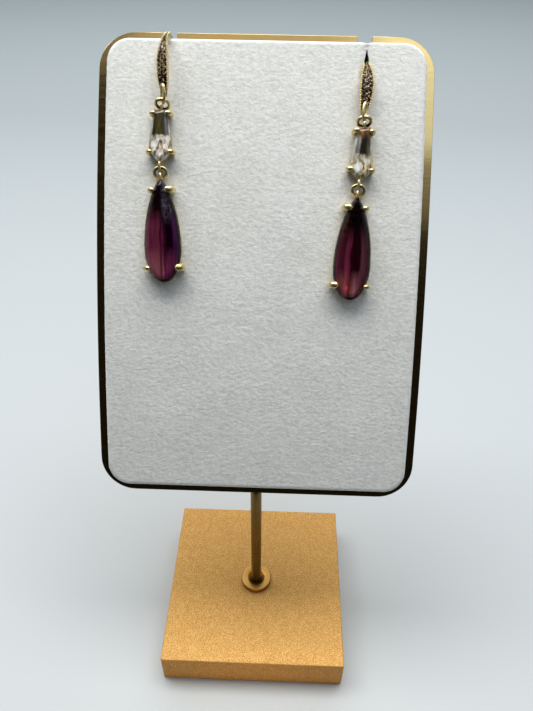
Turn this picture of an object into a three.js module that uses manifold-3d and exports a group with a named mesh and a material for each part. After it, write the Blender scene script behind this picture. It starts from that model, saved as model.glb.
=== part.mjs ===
// A pair of drop earrings hung on a leaning display panel, which stands on a post and a square foot.
// Millimetres. The origin is the centre of the foot's underside, +Z is up and the panel faces -Y.
import * as THREE from 'three';
import { mergeVertices } from 'three/addons/utils/BufferGeometryUtils.js';
import Module from 'manifold-3d';

const wasm = await Module();
wasm.setup();
const degrees = THREE.MathUtils.degToRad;

// The clear space between a piece and what carries it.
const gap = 0.3;

// The stand. The post's bend lies bendBelow under the plate's bottom edge, and its end holds the
// plate's back for the length of grip.
const base = { side: 50, height: 10.7, bevel: 0.35 };
const collar = { diameter: 8.7, height: 1.5, bevel: 0.3, recess: 4.9, recessDepth: 0.6, clearance: 0.12 };
const post = { diameter: 2.9, bendRadius: 5, bendBelow: 0.44, grip: 24 };
const roundSides = { collar: 24, post: 20, eye: 14, loop: 14, ring: 16, wire: 6 };
const outlineSteps = { corner: 5, side: 12, bend: 4, grip: 5, hookBack: 8, bar: 18, gem: 9 };
const plate = {
  width: 77.5, height: 110.2, thickness: 1.2, corner: 8.5,
  foot: 55.8, lean: degrees(24.5), bowRadius: 360,
};
const pad = { margin: 2, thickness: 1.7, softEdge: 0.8 };

// The notches in the plate's top edge and the slits in the pad in front of them. In its slit, the
// hook's crest stands slit.crest above the notch's bottom.
const notch = { width: 3.4, offset: 22.6, depth: 10.4 };
const slit = { width: 0.5, clearance: 0.2, crest: 4.6 };

// The ear hook's wire and its tapered bar with the field of small stones.
const hook = {
  wire: 0.84, over: 5, bulge: 7.8, belly: 9, drop: 14.8, tail: 2.9,
  back: 4.4, backDrop: 13.5, width: 2.6, depth: 1.4,
};
const seed = {
  diameter: 0.95, table: 0.52, rise: 0.3, sunk: 0.2, pitch: 1.06,
  pairFrom: 1.8, from: 0.22, to: 0.93, sides: 8,
};
const eye = { wire: 0.56, length: 3.6, width: 2.3, below: 14.35, out: 5.05, tilt: degrees(13.9) };
const loop = { wire: 0.4, diameter: 1.6, out: 0.4, sink: 0.78 };

// The jump rings, the settings and the cut stones.
const upperRing = { diameter: 3.45, wire: 0.52 };
const lowerRing = { diameter: 3.3, wire: 0.52 };
const seat = { depth: 1.5, wall: 0.3, below: 0.3, flare: 0.42 };
const play = { loop: 0.12, eye: 0.2 };
const girdle = 0.2;
const clearCut = {
  length: 11.8, width: 5.25, shoulder: 0.72, inset: 0.95, crown: 0.95, keel: 1.1, keelFrom: 0.4,
  flank: (u) => 1 - 0.45 * u ** 1.5, foot: (v) => (1 - v * v) ** 0.8,
};
const purpleCut = {
  length: 23.3, width: 8.3, shoulder: 0.67, inset: 1.25, crown: 0.95, keel: 1.15, keelFrom: 0.25,
  flank: (u) => Math.max((1 - u * u) ** 0.75, 0.09), foot: (v) => Math.sqrt(1 - v * v),
};
const claw = { over: 0.45, clearance: 0.14 };
const clearClaws = { diameter: 0.8, at: [0.1, 0.82] };
const purpleClaws = { diameter: 1, at: [0.11, 0.86] };

// How each hook and what hangs from it lies against the panel. The left hook's crest lies over the
// pad's top edge, and the right one is pushed down into the slit, with its crest behind the plate.
const padTop = plate.height - pad.margin;
const notchBottom = plate.height - notch.depth;
const sides = [
  {
    name: 'left',
    side: -1,
    hook: {
      inward: 0.3, s: padTop + hook.wire / 2 + gap, h: 0.4,
      roll: 0, yaw: degrees(-7.2), tip: degrees(2.8),
    },
    upperSwing: -0.55, clearRoll: degrees(0.3), lowerSwing: 0.05, purpleRoll: degrees(2.95),
  },
  {
    name: 'right',
    side: 1,
    hook: {
      inward: 0.35, s: notchBottom + slit.crest, h: -3.4,
      roll: degrees(-4), yaw: degrees(8.1), tip: degrees(-12.7), inSlit: true,
    },
    upperSwing: 0.2, clearRoll: degrees(-3.2), lowerSwing: -0.35, purpleRoll: degrees(-2.46),
  },
];

const finish = (color, metalness, roughness) => new THREE.MeshStandardMaterial({ color, metalness, roughness });
const paint = {
  base: finish(0xc79a4f, 0.6, 0.5),
  plate: finish(0xb08a4a, 0.9, 0.3),
  post: finish(0x8a7440, 0.9, 0.35),
  pad: finish(0xdedfd8, 0, 0.95),
  gold: finish(0xd9c68f, 1, 0.2),
  clear: finish(0xe8e4d6, 0.1, 0.05),
  purple: finish(0x4a1030, 0.1, 0.05),
};

// A closed body from a geometry: shared vertices merged, empty triangles dropped, faces outwards.
function closed(geometry) {
  const bare = geometry.index ? geometry.toNonIndexed() : geometry.clone();
  for (const name of Object.keys(bare.attributes)) {
    if (name !== 'position') bare.deleteAttribute(name);
  }
  const merged = mergeVertices(bare, 1e-5);
  const corner = (k) => new THREE.Vector3().fromBufferAttribute(merged.attributes.position, k);
  const kept = [];
  let volume = 0;
  for (let i = 0; i < merged.index.count; i += 3) {
    const [a, b, c] = [0, 1, 2].map((k) => merged.index.getX(i + k));
    if (a === b || b === c || c === a) continue;
    kept.push(a, b, c);
    volume += corner(a).dot(corner(b).cross(corner(c)));
  }
  merged.setIndex(volume < 0 ? kept.reverse() : kept);
  return merged;
}

function toManifold(geometry) {
  const body = closed(geometry);
  return new wasm.Manifold(new wasm.Mesh({
    numProp: 3,
    vertProperties: new Float32Array(body.attributes.position.array),
    triVerts: new Uint32Array(body.index.array),
  }));
}

function toGeometry(manifold) {
  const mesh = manifold.getMesh();
  const geometry = new THREE.BufferGeometry();
  geometry.setAttribute('position', new THREE.BufferAttribute(new Float32Array(mesh.vertProperties), 3));
  geometry.setIndex(Array.from(mesh.triVerts));
  return geometry;
}

const join = (geometries) => toGeometry(geometries.map(toManifold).reduce((all, one) => all.add(one)));
const cut = (geometry, tools) => toGeometry(
  tools.map(toManifold).reduce((left, tool) => left.subtract(tool), toManifold(geometry)),
);

// The skin over a row of outlines with equally many points. round joins the last to the first;
// otherwise each end is closed with a fan, and endless leaves out the fan of the first outline.
function skin(outlines, { round = false, endless = false } = {}) {
  const count = outlines[0].length;
  const triangles = [];
  const last = round ? outlines.length : outlines.length - 1;
  for (let i = 0; i < last; i += 1) {
    const [low, high] = [outlines[i], outlines[(i + 1) % outlines.length]];
    for (let j = 0; j < count; j += 1) {
      const k = (j + 1) % count;
      triangles.push(low[j], low[k], high[k], low[j], high[k], high[j]);
    }
  }
  const fan = (ring) => ring.slice(2).flatMap((point, j) => [ring[0], ring[j + 1], point]);
  if (!round) {
    if (!endless) triangles.push(...fan(outlines[0].toReversed()));
    triangles.push(...fan(outlines.at(-1)));
  }
  return closed(new THREE.BufferGeometry().setFromPoints(triangles));
}

// A section carried along a path that stays in one plane. axis is that plane's normal, and the
// section gives [along the axis, out of the path] pairs for a share of the path from 0 to 1.
function sweep(path, axis, section, round = false) {
  const last = path.length - 1;
  const outlines = path.map((point, i) => {
    const before = path[round ? (i + last) % path.length : Math.max(i - 1, 0)];
    const after = path[round ? (i + 1) % path.length : Math.min(i + 1, last)];
    const out = axis.clone().cross(after.clone().sub(before)).normalize();
    return section(i / last).map(
      ([across, rise]) => point.clone().addScaledVector(axis, across).addScaledVector(out, rise),
    );
  });
  return skin(outlines, { round });
}

const xAxis = new THREE.Vector3(1, 0, 0);
const yAxis = new THREE.Vector3(0, 1, 0);
const circle = (radius, count) => Array.from({ length: count }, (_, k) => {
  const turn = (2 * Math.PI * k) / count;
  return [radius * Math.cos(turn), radius * Math.sin(turn)];
});

// A rectangle with its corners cut.
function bevelled(width, depth, bevel) {
  const [w, d] = [width / 2, depth / 2];
  return [
    [w - bevel, -d], [w, bevel - d], [w, d - bevel], [w - bevel, d],
    [bevel - w, d], [-w, d - bevel], [-w, bevel - d], [bevel - w, -d],
  ];
}

// The panel's surface: x across it, s along its bow from the plate's bottom edge, and h in front
// of the plate's front face. The plate's back rests against the bent end of the post.
const postLine = plate.thickness + gap + post.diameter / 2;
const plateFront = post.bendBelow * Math.sin(plate.lean) - postLine * Math.cos(plate.lean);
const leanAt = (s) => plate.lean + s / plate.bowRadius;

function onPanel(x, s, h) {
  const a = leanAt(s);
  const y = plate.bowRadius * (Math.cos(plate.lean) - Math.cos(a)) - h * Math.cos(a);
  const z = plate.bowRadius * (Math.sin(a) - Math.sin(plate.lean)) + h * Math.sin(a);
  return new THREE.Vector3(x, plateFront + y, plate.foot + z);
}

function panelPlace(point) {
  const y = point.y - plateFront - plate.bowRadius * Math.cos(plate.lean);
  const z = point.z - plate.foot + plate.bowRadius * Math.sin(plate.lean);
  const a = Math.atan2(z, -y);
  return { x: point.x, s: (a - plate.lean) * plate.bowRadius, h: Math.hypot(y, z) - plate.bowRadius };
}

// A group whose x, y and z run across the panel, up it and out of it.
function panelGroup(x, s, h) {
  const group = new THREE.Group();
  group.position.copy(onPanel(x, s, h));
  group.rotation.x = Math.PI / 2 - leanAt(s);
  return group;
}

// The right half of a rounded rectangle on the panel, from its bottom edge to its top edge.
function halfOutline(inset) {
  const { corner: steps, side: rows } = outlineSteps;
  const half = plate.width / 2 - inset;
  const [low, high] = [inset, plate.height - inset];
  const radius = plate.corner - inset;
  const arc = (k) => (Math.PI / 2) * (k / steps);
  const points = [];
  for (let k = 0; k <= steps; k += 1) {
    points.push([half - radius * (1 - Math.sin(arc(k))), low + radius * (1 - Math.cos(arc(k)))]);
  }
  for (let k = 1; k < rows; k += 1) {
    points.push([half, low + radius + ((high - low - 2 * radius) * k) / rows]);
  }
  for (let k = 0; k <= steps; k += 1) {
    points.push([half - radius * (1 - Math.cos(arc(k))), high - radius * (1 - Math.sin(arc(k)))]);
  }
  return points;
}

// A bowed slab with rounded corners, from layers of { inset, h } that run from its back forwards.
function bowedSlab(layers) {
  const outlines = layers.map(({ inset, h }) => {
    const half = halfOutline(inset);
    const right = half.map(([x, s]) => onPanel(x, s, h));
    const left = half.map(([x, s]) => onPanel(-x, s, h));
    return { right, left };
  });
  const triangles = [];
  const quad = (a, b, c, d) => triangles.push(a, b, c, a, c, d);
  const face = ({ right, left }, flip) => {
    for (let i = 0; i + 1 < right.length; i += 1) {
      const corners = [left[i], right[i], right[i + 1], left[i + 1]];
      quad(...(flip ? corners.reverse() : corners));
    }
  };
  face(outlines[0], true);
  face(outlines.at(-1), false);
  for (let i = 0; i + 1 < outlines.length; i += 1) {
    const [low, high] = [outlines[i], outlines[i + 1]].map(({ right, left }) => [...right, ...left.toReversed()]);
    low.forEach((point, j) => {
      const k = (j + 1) % low.length;
      quad(point, low[k], high[k], high[j]);
    });
  }
  return closed(new THREE.BufferGeometry().setFromPoints(triangles));
}

// A cutter through the panel at x: a slot that is open at its top and round at its bottom. It has
// the width of neck down to neckEnd and widens to width from there.
function slotCutter(x, bottom, width, neck, neckEnd) {
  const depth = 4 * (plate.thickness + gap + pad.thickness);
  const group = panelGroup(x, bottom, -depth / 2);
  const [w, n, top] = [width / 2, neck / 2, plate.height + pad.margin - bottom];
  const shape = new THREE.Shape();
  shape.moveTo(-n, top);
  shape.lineTo(-n, neckEnd - bottom);
  shape.lineTo(-w, neckEnd - bottom - 2 * (w - n));
  shape.lineTo(-w, w);
  shape.absarc(0, w, w, Math.PI, 2 * Math.PI, false);
  shape.lineTo(w, neckEnd - bottom - 2 * (w - n));
  shape.lineTo(n, neckEnd - bottom);
  shape.lineTo(n, top);
  shape.closePath();
  group.updateMatrixWorld(true);
  const geometry = new THREE.ExtrudeGeometry(shape, { depth, bevelEnabled: false, curveSegments: 4 });
  return geometry.applyMatrix4(group.matrixWorld);
}

const named = (geometry, name, material) => {
  const mesh = new THREE.Mesh(geometry, material);
  mesh.name = name;
  return mesh;
};

function makeBase() {
  const square = (inset, z) => {
    const half = base.side / 2 - inset;
    return [[-half, -half], [half, -half], [half, half], [-half, half]].map(([x, y]) => new THREE.Vector3(x, y, z));
  };
  return skin([
    square(base.bevel, 0), square(0, base.bevel),
    square(0, base.height - base.bevel), square(base.bevel, base.height),
  ]);
}

function makeCollar() {
  const outer = collar.diameter / 2;
  const bore = post.diameter / 2 + collar.clearance;
  const recess = collar.recess / 2;
  const profile = [
    [bore, 0], [outer, 0], [outer, collar.height - collar.bevel], [outer - collar.bevel, collar.height],
    [recess, collar.height], [bore, collar.height - collar.recessDepth],
  ];
  const turns = circle(1, roundSides.collar).map(([x, y]) => profile.map(
    ([r, z]) => new THREE.Vector3(r * x, r * y, base.height + z),
  ));
  return skin(turns, { round: true });
}

function makePost() {
  const corner = plate.foot - postLine * Math.sin(plate.lean) - post.bendBelow * Math.cos(plate.lean);
  const tangent = post.bendRadius * Math.tan(plate.lean / 2);
  const path = [new THREE.Vector3(0, 0, base.height)];
  for (let k = 0; k <= outlineSteps.bend; k += 1) {
    const turn = (plate.lean * k) / outlineSteps.bend;
    path.push(new THREE.Vector3(
      0, post.bendRadius * (1 - Math.cos(turn)), corner - tangent + post.bendRadius * Math.sin(turn),
    ));
  }
  for (let k = 1; k <= outlineSteps.grip; k += 1) {
    path.push(onPanel(0, THREE.MathUtils.lerp(tangent, post.grip, k / outlineSteps.grip), -postLine));
  }
  return sweep(path, xAxis, () => circle(post.diameter / 2, roundSides.post));
}

function makePlate() {
  const slab = bowedSlab([{ inset: 0, h: -plate.thickness }, { inset: 0, h: 0 }]);
  const tools = sides.map(({ side }) => slotCutter(
    side * notch.offset, notchBottom, notch.width, notch.width, plate.height,
  ));
  return cut(slab, tools);
}

// The hook's outline lies in the plane x = 0, with its crest at the origin, y up and z forwards.
const hookFront = new THREE.CubicBezierCurve3(
  new THREE.Vector3(0, 0, 0), new THREE.Vector3(0, 0, hook.over),
  new THREE.Vector3(0, -hook.belly, hook.bulge), new THREE.Vector3(0, -hook.drop, hook.tail),
);
const hookBack = new THREE.CubicBezierCurve3(
  new THREE.Vector3(0, -0.4 * hook.backDrop, -hook.back), new THREE.Vector3(0, -0.1 * hook.backDrop, -hook.back),
  new THREE.Vector3(0, 0, -0.75 * hook.back), new THREE.Vector3(0, 0, 0),
);

// The bar's width and depth as shares of its largest ones, at shares of its length.
const barStations = [
  { along: 0, width: 0.323, depth: 0.6 },
  { along: 0.2, width: 0.42, depth: 0.72 },
  { along: 0.35, width: 0.6, depth: 0.85 },
  { along: 0.5, width: 0.9, depth: 0.95 },
  { along: 0.62, width: 1, depth: 1 },
  { along: 0.76, width: 0.95, depth: 1 },
  { along: 0.88, width: 0.72, depth: 0.8 },
  { along: 1, width: 0.36, depth: 0.5 },
];

function barSize(along) {
  const next = Math.max(barStations.findIndex((station) => station.along >= along), 1);
  const [low, high] = [barStations[next - 1], barStations[next]];
  const share = (along - low.along) / (high.along - low.along);
  return {
    width: hook.width * THREE.MathUtils.lerp(low.width, high.width, share),
    depth: hook.depth * THREE.MathUtils.lerp(low.depth, high.depth, share),
  };
}

// The small stones stand in one row where the bar is narrow and in two where it is wide.
function seedStones() {
  const stones = [];
  const length = hookFront.getLength();
  for (let at = seed.from * length; at < seed.to * length; at += seed.pitch) {
    const { width, depth } = barSize(at / length);
    const ahead = hookFront.getTangentAt(at / length);
    const out = xAxis.clone().cross(ahead).negate();
    const across = width > seed.pairFrom ? [-0.5 * seed.diameter, 0.5 * seed.diameter] : [0];
    for (const x of across) {
      const height = seed.rise + seed.sunk;
      const stone = new THREE.CylinderGeometry(seed.table / 2, seed.diameter / 2, height, seed.sides);
      stone.translate(0, depth / 2 + (seed.rise - seed.sunk) / 2, 0);
      stone.applyMatrix4(new THREE.Matrix4().makeBasis(xAxis, out, xAxis.clone().cross(out)));
      const foot = hookFront.getPointAt(at / length);
      stones.push(stone.translate(x, foot.y, foot.z));
    }
  }
  return stones;
}

function makeHook() {
  const radius = hook.wire / 2;
  const octagon = radius * (2 - Math.SQRT2);
  const backEnd = new THREE.Vector3(0, -hook.backDrop, -hook.back);
  const wire = [backEnd, ...hookBack.getSpacedPoints(outlineSteps.hookBack)];
  const bar = hookFront.getSpacedPoints(outlineSteps.bar).slice(1);
  const first = wire.length;
  const total = first + bar.length - 1;
  const section = (share) => {
    const step = Math.round(share * total);
    if (step < first) return bevelled(hook.wire, hook.wire, octagon);
    const { width, depth } = barSize((step - first + 1) / outlineSteps.bar);
    return bevelled(width, depth, Math.min(octagon, depth / 5));
  };
  const body = sweep([...wire, ...bar], xAxis, section);
  const reach = { y: (eye.length - eye.wire) / 2, z: (eye.width - eye.wire) / 2 };
  const ring = circle(1, roundSides.eye).map(([c, d]) => new THREE.Vector3(0, reach.y * c, reach.z * d));
  const eyeRing = sweep(ring, xAxis, () => circle(eye.wire / 2, roundSides.wire), true);
  eyeRing.rotateX(eye.tilt).translate(0, -eye.below, eye.out);
  return join([body, eyeRing, ...seedStones()]);
}

// Where a jump ring's wire bears in the hook's eye, in the hook's own space.
function eyeSeat(ring) {
  const down = eye.length / 2 - eye.wire - ring.wire / 2 - play.eye;
  return new THREE.Vector3(0, -eye.below - down * Math.cos(eye.tilt), eye.out - down * Math.sin(eye.tilt));
}

// Half the width of a cut stone at y below its top end. An inset shrinks the stone all round.
function gemHalf(gem, y, inset = 0) {
  const share = THREE.MathUtils.clamp((-y - inset) / (gem.length - 2 * inset), 0, 1);
  const half = gem.width / 2 - inset;
  if (share < gem.shoulder) return half * gem.flank(1 - share / gem.shoulder);
  return half * gem.foot((share - gem.shoulder) / (1 - gem.shoulder));
}

// A cut stone's outline from its top end down its right side and up its left, with the way out of
// the stone at each point.
function gemOutline(gem, inset = 0) {
  const right = [];
  for (let k = 0; k <= outlineSteps.gem; k += 1) {
    const c = Math.cos((Math.PI * k) / outlineSteps.gem);
    const share = c > 0 ? gem.shoulder * (1 - c) : gem.shoulder - (1 - gem.shoulder) * c;
    const y = -inset - share * (gem.length - 2 * inset);
    right.push(new THREE.Vector2(gemHalf(gem, y, inset), y));
  }
  const left = right.slice(0, -1).reverse().map(({ x, y }) => new THREE.Vector2(-x, y));
  const points = [...right, ...left];
  return points.map((point, i) => {
    const ahead = points[(i + 1) % points.length].clone().sub(points.at(i - 1));
    return { point, out: new THREE.Vector2(-ahead.y, ahead.x).normalize() };
  });
}

// A flat table, one row of crown facets, a thin girdle and long facets down to a straight keel.
function makeGem(gem) {
  const keelTop = -gem.keelFrom * gem.length;
  const keelBottom = -gem.shoulder * gem.length;
  const row = (inset, z) => gemOutline(gem, inset).map(({ point }) => new THREE.Vector3(point.x, point.y, z));
  const keel = row(0, 0).map(({ y }) => (
    new THREE.Vector3(0, THREE.MathUtils.clamp(y, keelBottom, keelTop), -gem.keel)
  ));
  return skin([keel, row(0, 0), row(0, girdle), row(gem.inset, girdle + gem.crown)], { endless: true });
}

// The wall under the girdle stands flush at both ends of the stone and flares past it at the sides.
function seatWall(gem) {
  const rows = gemOutline(gem).map(({ point, out }) => {
    const flare = Math.abs(out.x) * seat.flare;
    const rise = Math.abs(out.x) * seat.below - seat.below;
    const at = (offset, z) => new THREE.Vector3(point.x + out.x * offset, point.y + out.y * offset, z);
    return [
      at(-seat.wall, -seat.depth), at(0, -seat.depth),
      at(flare, rise), at(flare - seat.wall, rise),
    ];
  });
  return skin(rows, { round: true });
}

// A claw rises beside the wall and bends in over the crown, clear of its slope along x and y.
function makeClaw(gem, share, side, diameter) {
  const y = -share * gem.length;
  const half = gemHalf(gem, y);
  const r = diameter / 2;
  const step = 0.01 * gem.length;
  const narrowing = (gemHalf(gem, y - step) - gemHalf(gem, y + step)) / (2 * step);
  const slope = gem.crown / (half - gemHalf(gem, y, gem.inset));
  const clear = (claw.clearance + r) * Math.hypot(1, slope, slope * narrowing);
  const rise = (inset) => girdle + inset * slope + clear;
  const stem = (r + claw.clearance) * Math.hypot(1, narrowing);
  const stations = [
    { offset: stem - 0.8 * r, z: -seat.depth, size: 0.8 },
    { offset: stem, z: -0.5 * seat.depth, size: 1 },
    { offset: stem, z: girdle, size: 1 },
    { offset: stem - 0.25 * r, z: rise(0) - 0.5 * r, size: 1.05 },
    { offset: -0.5 * claw.over, z: rise(0.5 * claw.over), size: 1.05 },
    { offset: -claw.over - 0.5 * r, z: rise(claw.over), size: 0.7 },
  ];
  const path = stations.map(({ offset, z }) => new THREE.Vector3(side * (half + offset), y, z));
  const sizeAt = (along) => r * stations[Math.round(along * (path.length - 1))].size;
  return sweep(path, yAxis, (along) => circle(sizeAt(along), roundSides.wire));
}

const ringShape = ({ diameter, wire }, count) => closed(
  new THREE.TorusGeometry((diameter - wire) / 2, wire / 2, roundSides.wire, count),
);

// A loop that stands edge-on at one end of a setting.
function makeLoop(y) {
  return ringShape(loop, roundSides.loop).rotateY(Math.PI / 2).translate(0, y, -loop.sink);
}

function makeSetting(gem, claws, loops) {
  const stems = claws.at.flatMap((share) => [-1, 1].map((side) => makeClaw(gem, share, side, claws.diameter)));
  const rings = loops.map((end) => makeLoop(end > 0 ? loop.out : -gem.length - loop.out));
  return join([seatWall(gem), ...stems, ...rings]);
}

// How far a ring's wire bears outside a setting's end: on the far side of the hole of its loop.
const loopSeat = (ring) => loop.out + loop.diameter / 2 - loop.wire - ring.wire / 2 - play.loop;

// A jump ring between two points, with its hole facing out of the panel.
function spanRing(name, ring, from, to) {
  const mesh = named(ringShape(ring, roundSides.ring), name, paint.gold);
  const up = from.clone().sub(to).normalize();
  const across = xAxis.clone().addScaledVector(up, -up.x).normalize();
  mesh.quaternion.setFromRotationMatrix(new THREE.Matrix4().makeBasis(across, up, across.clone().cross(up)));
  mesh.position.copy(from).add(to).multiplyScalar(0.5);
  return mesh;
}

// A stone in its setting, hung by a jump ring from a point above. The setting rests on the pad.
function hang(from, ring, swing, roll, gem) {
  const top = panelPlace(from);
  const reach = gem.length / 2 + loopSeat(ring);
  const rest = gap + pad.thickness + gap + seat.depth;
  const height = rest - loop.sink + reach ** 2 / (2 * plate.bowRadius);
  const drop = Math.sqrt((ring.diameter - ring.wire) ** 2 - (top.h - height) ** 2 - swing ** 2);
  const x = top.x + swing + reach * Math.sin(roll);
  const group = panelGroup(x, top.s - drop - reach * Math.cos(roll), rest);
  const turned = new THREE.Group();
  turned.rotation.z = roll;
  group.add(turned);
  const shifted = new THREE.Group();
  shifted.position.y = gem.length / 2;
  turned.add(shifted);
  group.updateMatrixWorld(true);
  return {
    group,
    holder: shifted,
    loopAt: shifted.localToWorld(new THREE.Vector3(0, loopSeat(ring), -loop.sink)),
  };
}

function makeEarring(side) {
  const earring = new THREE.Group();
  const label = (piece) => `${side.name}_${piece}`;
  const { inward, s, h, roll, yaw, tip } = side.hook;
  const place = panelGroup(side.side * (notch.offset - inward), s, h);
  const hookMesh = named(makeHook(), label('ear_hook'), paint.gold);
  hookMesh.rotation.set(tip, yaw, roll, 'ZYX');
  place.add(hookMesh);
  place.updateMatrixWorld(true);

  const eyeAt = hookMesh.localToWorld(eyeSeat(upperRing));
  const clear = hang(eyeAt, upperRing, side.upperSwing, side.clearRoll, clearCut);
  clear.holder.add(
    named(makeSetting(clearCut, clearClaws, [1, -1]), label('clear_setting'), paint.gold),
    named(makeGem(clearCut), label('clear_stone'), paint.clear),
  );
  const below = -clearCut.length - loopSeat(lowerRing);
  const lowerAt = clear.holder.localToWorld(new THREE.Vector3(0, below, -loop.sink));
  const purple = hang(lowerAt, lowerRing, side.lowerSwing, side.purpleRoll, purpleCut);
  purple.holder.add(
    named(makeSetting(purpleCut, purpleClaws, [1]), label('purple_setting'), paint.gold),
    named(makeGem(purpleCut), label('purple_stone'), paint.purple),
  );
  earring.add(
    place,
    spanRing(label('upper_ring'), upperRing, eyeAt, clear.loopAt),
    clear.group,
    spanRing(label('lower_ring'), lowerRing, lowerAt, purple.loopAt),
    purple.group,
  );
  earring.userData = { hook: hookMesh };
  return earring;
}

// The stretch of a hook's bar that lies within the pad's thickness.
function barInPad(hookMesh) {
  const front = gap + pad.thickness;
  const stations = Array.from({ length: 101 }, (_, k) => k / 100).map((along) => (
    { ...barSize(along), ...panelPlace(hookMesh.localToWorld(hookFront.getPointAt(along))) }
  ));
  const inside = stations.filter(({ h, depth }) => h + depth / 2 > gap && h - depth / 2 < front);
  return {
    x: inside.at(-1).x,
    top: inside[0].s + inside[0].depth / 2,
    width: inside.at(-1).width,
  };
}

function makePad(earrings) {
  const front = gap + pad.thickness;
  const slab = bowedSlab([
    { inset: pad.margin + 0.4 * pad.softEdge, h: gap },
    { inset: pad.margin, h: gap + 0.4 * pad.softEdge },
    { inset: pad.margin, h: front - pad.softEdge },
    { inset: pad.margin + 0.3 * pad.softEdge, h: front - 0.3 * pad.softEdge },
    { inset: pad.margin + pad.softEdge, h: front },
  ]);
  const tools = sides.map(({ side, hook: { inSlit } }, i) => {
    if (!inSlit) return slotCutter(side * notch.offset, notchBottom, slit.width, slit.width, padTop);
    const bar = barInPad(earrings[i].userData.hook);
    const opening = bar.width + 2 * slit.clearance;
    return slotCutter(bar.x, notchBottom, opening, slit.width, bar.top + opening);
  });
  return cut(slab, tools);
}

const earrings = sides.map(makeEarring);
const stand = new THREE.Group();
stand.add(
  named(makeBase(), 'base_block', paint.base),
  named(makeCollar(), 'post_collar', paint.base),
  named(makePost(), 'post', paint.post),
  named(makePlate(), 'back_plate', paint.plate),
  named(makePad(earrings), 'display_pad', paint.pad),
);

const display = new THREE.Group();
display.add(stand, ...earrings);

export default display;
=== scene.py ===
import math
import bpy
import numpy as np
from mathutils import Matrix


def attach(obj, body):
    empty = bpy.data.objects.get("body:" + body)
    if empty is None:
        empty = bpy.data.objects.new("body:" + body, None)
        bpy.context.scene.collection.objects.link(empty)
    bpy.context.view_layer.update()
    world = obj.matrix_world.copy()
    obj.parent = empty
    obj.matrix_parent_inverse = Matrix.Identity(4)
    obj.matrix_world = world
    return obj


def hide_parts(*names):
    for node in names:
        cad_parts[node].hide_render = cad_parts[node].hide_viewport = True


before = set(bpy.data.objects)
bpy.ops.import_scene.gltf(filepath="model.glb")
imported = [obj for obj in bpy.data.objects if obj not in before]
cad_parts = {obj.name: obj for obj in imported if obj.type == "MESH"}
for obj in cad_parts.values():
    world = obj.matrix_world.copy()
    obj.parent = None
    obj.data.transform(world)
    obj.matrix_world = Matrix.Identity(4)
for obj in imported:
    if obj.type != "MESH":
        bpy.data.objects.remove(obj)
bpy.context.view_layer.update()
mm = 0.001
print("frame loaded:", len(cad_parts), "solids")

# All lengths below are millimetres, and shapes become metres when their mesh is made.
# x runs across the panel, s up its bow from the plate's bottom edge, h out of the plate's front.
panel = {"width": 77.5, "height": 110.2, "thickness": 1.2, "corner": 8.5, "foot": 55.8,
         "lean": math.radians(24.5), "bow": 360.0, "gap": 0.3}
post = {"radius": 1.45, "bendRadius": 5.0, "bendBelow": 0.44, "grip": 24.0}
seam = {"from": 0.3, "short": 0.5, "swell": 0.42, "thin": 0.05, "apart": 1.15, "above": 0.15}
foot = {"side": 50.0, "height": 10.7, "edge": 0.35, "corner": 0.45}
lean, bow = panel["lean"], panel["bow"]
backLine = panel["thickness"] + panel["gap"] + post["radius"]
plateFront = post["bendBelow"] * math.sin(lean) - backLine * math.cos(lean)


# arrays and shells: a shell is its points, its four-sided faces and its three-sided faces

def onPanel(x, s, h):
    # a point of the bow: radius bow around a level axis, turned by lean plus s over bow, raised by h
    x, s, h = np.broadcast_arrays(np.asarray(x, float), s, h)
    a = lean + s / bow
    y = plateFront + bow * (math.cos(lean) - np.cos(a)) - h * np.cos(a)
    z = panel["foot"] + bow * (np.sin(a) - math.sin(lean)) + h * np.sin(a)
    return np.stack([x, y, z], -1)


def panelFrame(x, s, h):
    a = lean + s / bow
    turn = np.array([[1, 0, 0], [0, math.sin(a), -math.cos(a)], [0, math.cos(a), math.sin(a)]])
    return onPanel(x, s, h), turn


def panelPlace(points):
    # onPanel the other way round: the x, s and h of points in space
    x, y, z = np.asarray(points, float).T
    y = y - plateFront - bow * math.cos(lean)
    z = z - panel["foot"] + bow * math.sin(lean)
    return x, (np.arctan2(z, -y) - lean) * bow, np.hypot(y, z) - bow


def turnX(a):
    return np.array([[1, 0, 0], [0, math.cos(a), -math.sin(a)], [0, math.sin(a), math.cos(a)]])


def turnY(a):
    return np.array([[math.cos(a), 0, math.sin(a)], [0, 1, 0], [-math.sin(a), 0, math.cos(a)]])


def turnZ(a):
    return np.array([[math.cos(a), -math.sin(a), 0], [math.sin(a), math.cos(a), 0], [0, 0, 1]])


def gridShell(points, roundRows=False, roundColumns=False, capped=False):
    # the faces between neighbouring rows and columns, with a fan to the middle of each end row as a cap
    rows, columns = points.shape[:2]
    index = np.arange(rows * columns).reshape(rows, columns)
    low = index if roundRows else index[:-1]
    high = np.roll(index, -1, 0) if roundRows else index[1:]
    if roundColumns:
        quads = np.stack([low, np.roll(low, -1, 1), np.roll(high, -1, 1), high], -1)
    else:
        quads = np.stack([low[:, :-1], low[:, 1:], high[:, 1:], high[:, :-1]], -1)
    verts = points.reshape(-1, 3)
    tris = []
    for row, flip in ((index[0], True), (index[-1], False)) if capped else ():
        centre = np.full(columns, len(verts))
        verts = np.vstack([verts, verts[row].mean(0)])
        fan = np.stack([row, np.roll(row, -1), centre], -1)
        tris.append(fan[:, ::-1] if flip else fan)
    tris = np.vstack(tris) if tris else np.zeros((0, 3), int)
    return verts, quads.reshape(-1, 4), tris


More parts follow.
